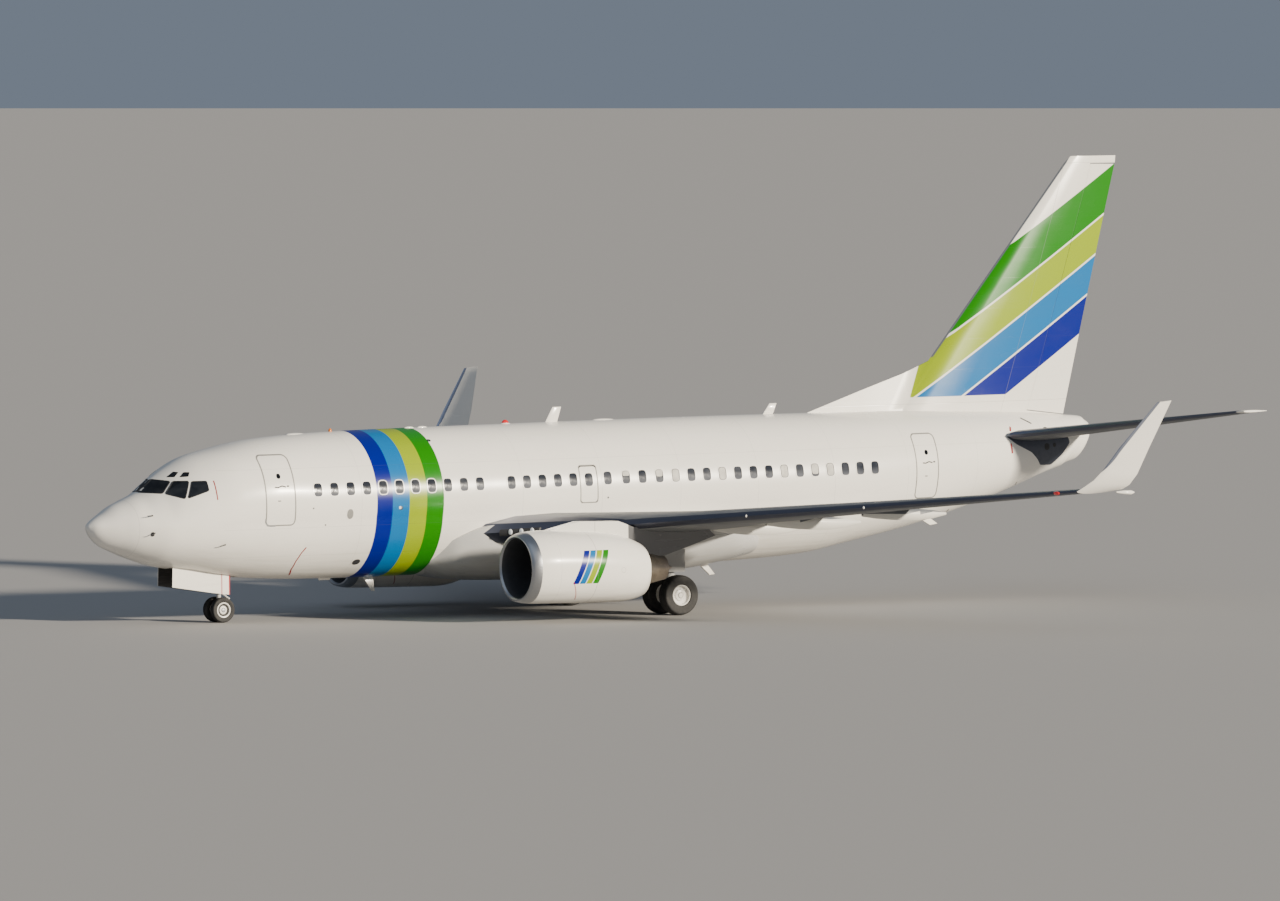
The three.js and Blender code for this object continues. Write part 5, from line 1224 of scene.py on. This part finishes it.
def make_fittings():
    parts = {name: Shape() for name in ("white", "dark", "grey", "red", "amber")}
    white, dark = parts["white"], parts["dark"]

    def on_top(s, y, sink):
        return s, y, float(body_top(s, y)) - sink

    def keel(s):
        return float(body_rows(s)[1])

    for s, y, *size in DOMES:
        mound(white, on_top(s, y, 0.012), size)
    mound(parts["amber"], on_top(7.55, 0, 0.01), (0.05, 0.05, 0.10))
    mound(parts["red"], on_top(13.1, 0, 0.01), (0.11, 0.08, 0.12))
    mound(white, on_top(13.1, 0, 0.015), (0.16, 0.12, 0.05))
    for s, chord, tall in ((14.36, 0.30, 0.44), (21.45, 0.26, 0.33)):
        foot = on_top(s, 0, 0.03)[2]
        blade(white, [(s, foot), (s + chord + 0.10, foot), (s + chord + 0.24, foot + tall),
                      (s + 0.26, foot + tall)], 0.05)
    # Belly: aerial, drain masts, low blade
    z = keel(8.6)
    blade(white, [(8.50, z + 0.02), (8.84, z + 0.02), (8.90, z - 0.40), (8.80, z - 0.40)], 0.05)
    blade(white, [(19.12, 1.34), (19.46, 1.33), (19.86, 0.86), (19.68, 0.84)], 0.07)
    z = keel(26.9)
    blade(white, [(26.62, z + 0.04), (27.0, z + 0.05), (27.32, z - 0.16), (27.05, z - 0.20)], 0.06)
    blade(white, [(7.10, 1.27), (7.52, 1.26), (7.50, 1.17), (7.16, 1.17)], 0.10)
    marks, plates, bolts = Shape(), Shape(), Shape()
    outline = even_steps(SEAL_OUTLINE, 0.07)
    for side, _ in SIDES:
        probe(dark, 1.42, 3.165, side, 0.16)
        probe(dark, 3.36, 2.335, side, 0.15, 0.02)
        probe(dark, 1.42, 2.70, side, 0.10, 0.03)
        for name, s, z, a, b, lift, steps, power in PLATES:
            skin_patch(parts[name], s, z, a, b, side, lift, steps, power)
        skin_line(dark, [(29.77, 4.94), (30.05, 4.78)], 0.035, side, 0.01)
        skin_patch(dark, 30.50, 4.60, 0.10, 0.07, side, 0.005, 16, 2.2, dome=0.02)
        for s in (27.2, 28.5, 29.6):
            z = keel(s) + 0.16
            skin_line(dark, [(s, z + 0.05), (s + 0.03, z - 0.03)], 0.02, side, 0.006, 0.02)
        for path, width, lift, step in MARKS:
            skin_line(marks, path, width, side, lift, step)
        plates.sheet(np.stack([on_skin(*(SEAL_MIDDLE + (outline - SEAL_MIDDLE) * r).T, side, lift) for r, lift in (
            (1.0, -0.003), *((r, SEAL_LIFT) for r in np.linspace(0.99, 0.03, 16)))]), body_normal(*SEAL_MIDDLE, side))
        skin_patch(bolts, 30.46, 4.12, 0.10, 0.10, side, 0.006, 16, 2.2, dome=0.003)
        skin_patch(bolts, 30.76, 4.16, 0.06, 0.06, side, 0.006, 16, 2.2, dome=0.002)
    white.make("antennas", WHITE_PAINT, "airframe")
    dark.make("probes_and_ports", SEAL, "airframe")
    parts["grey"].make("static_port_plates", OUTLINE, "airframe")
    parts["red"].make("beacon", RED_LENS, "airframe")
    parts["amber"].make("crown_light", AMBER_LENS, "airframe")
    marks.make("red_marks", RED, "airframe")
    plates.make("tailplane_seal_plates", PATCH_BLUE, "airframe")
    bolts.make("tailplane_seal_bolts", SEAL, "airframe")


# Wing's leading edge: distance to the side, station, height
LEADING_EDGE = np.array([[1.2, 10.6, 2.33], [2.0, 11.25, 2.38], [4.6, 13.93, 2.61], [5.8, 14.56, 2.725],
                         [11.5, 17.57, 3.235], [17.0, 20.47, 3.75]]).T


def wing_edge(y):
    """Station and height of the wing's leading edge at a distance to the side."""
    return tuple(np.interp(y, LEADING_EDGE[0], row) for row in LEADING_EDGE[1:])


def make_lights():
    """Landing lights in the wing's root, tip lights, small fairings on the leading edge and at the tips."""
    lenses, frames, red, dots = Shape(), Shape(), Shape(), Shape()
    for side, _ in SIDES:
        y = np.linspace(2.28, 3.05, 12)
        s, z = wing_edge(y)
        a = np.linspace(-1.1, 1.1, 9)
        rings = place(s[:, None] + 0.05 - 0.075 * np.cos(a), side * y[:, None], z[:, None] - 0.01 + 0.10 * np.sin(a))
        frames.loft(np.concatenate([rings, place(s + 0.16, side * y, z)[:, None]], 1))
        for k in (3, 6, 9):
            mound(lenses, (s[k] - 0.012, side * y[k], z[k]), (0.06, 0.08, 0.035), (0.85, side * 0.5, 0))
        s, z = wing_edge(16.45)
        mound(red if side > 0 else dots, (s + 0.02, side * 16.45, z), (0.05, 0.13, 0.06), (1, 0, 0.1))
        for out in (8.1, 11.3):
            s, z = wing_edge(out)
            mound(dots, (s + 0.005, side * out, z), (0.04, 0.03, 0.03), (1, 0, 0))
        dots.loft(tube_rings([(21.72, side * 17.02, 3.70), (21.95, side * 17.04, 3.69), (22.16, side * 17.06, 3.68),
                              (22.26, side * 17.06, 3.68)], [0.02, 0.055, 0.06, 0.02], 14))
    frames.make("landing_light_housings", SEAL, "airframe")
    lenses.make("landing_lights", LENS, "airframe")
    red.make("wing_tip_light", RED_LENS, "airframe")
    dots.make("wing_tip_fittings", WHITE_PAINT, "airframe")


# ---------------------------------------------------------------- stage

# Lights: azimuth from ahead towards port, elevation, strength, softness, colour
LIGHTS = [("key", 118, 16, 8.0, 4, (1, 0.90, 0.74)), ("fill", 40, 50, 0.3, 60, (0.75, 0.86, 1))]
SKY, SKY_STRENGTH = (0.66, 0.79, 1.0, 1), 0.25
FLOOR_REACH, FLOOR_GREY = 6000.0, (0.38, 0.37, 0.36)


def make_stage():
    r = FLOOR_REACH
    mesh = new_mesh("floor", np.array([(-r, -r, 0), (r, -r, 0), (r, r, 0), (-r, r, 0)]), [(0, 1, 2, 3)])
    mesh.materials.append(Finish("floor_pale", None, FLOOR_GREY, 0.9).material)
    new_object("floor", mesh)
    world = bpy.context.scene.world or bpy.data.worlds.new("studio")
    bpy.context.scene.world = world
    world.use_nodes = True
    background = world.node_tree.nodes["Background"]
    background.inputs[0].default_value, background.inputs[1].default_value = SKY, SKY_STRENGTH
    for name, azimuth, height, power, soft, colour in LIGHTS:
        light = bpy.data.lights.new(name, "SUN")
        light.energy, light.angle, light.color = power, math.radians(soft), colour
        a, h = math.radians(azimuth), math.radians(height)
        towards = Vector((math.cos(h) * math.cos(a), math.cos(h) * math.sin(a), math.sin(h)))
        new_object(name, light).rotation_euler = towards.to_track_quat("Z", "Y").to_euler()


# Camera fitted to the photograph: turns in degrees, focal length in pixels, picture width, place
YAW, PITCH_DOWN, ROLL = 31.783, 2.1437, 0.0688
FOCAL, PICTURE, SENSOR, CAMERA_AT = 9647.21, 1280, 36, (140.086, 227.105, 14.393)


def make_camera():
    """The photograph's view: far off and low, ahead of the port side."""
    yaw, pitch, roll = (math.radians(v) for v in (YAW, PITCH_DOWN, ROLL))
    ahead = Vector((-math.sin(yaw) * math.cos(pitch), -math.cos(yaw) * math.cos(pitch), -math.sin(pitch)))
    level = ahead.cross(Vector((0, 0, 1))).normalized()
    lift = level.cross(ahead)
    right = level * math.cos(roll) + lift * math.sin(roll)
    up = lift * math.cos(roll) - level * math.sin(roll)
    camera = bpy.data.cameras.new("camera")
    camera.lens, camera.sensor_width = FOCAL * SENSOR / PICTURE, SENSOR
    camera.clip_start, camera.clip_end = 1.0, 20000.0
    view = new_object("camera", camera)
    view.matrix_world = Matrix.Translation(CAMERA_AT) @ Matrix((right, up, -ahead)).transposed().to_4x4()
    bpy.context.scene.camera = view


make_camera()
make_stage()
make_fuselage()
make_windows()
make_cockpit()
make_doors()
make_fairing()
for SIDE, LABEL in SIDES:
    make_nacelle(SIDE, LABEL)
    make_core(SIDE, LABEL)
    make_fan(SIDE, LABEL)
make_surfaces()
make_wheels()
make_fittings()
make_lights()
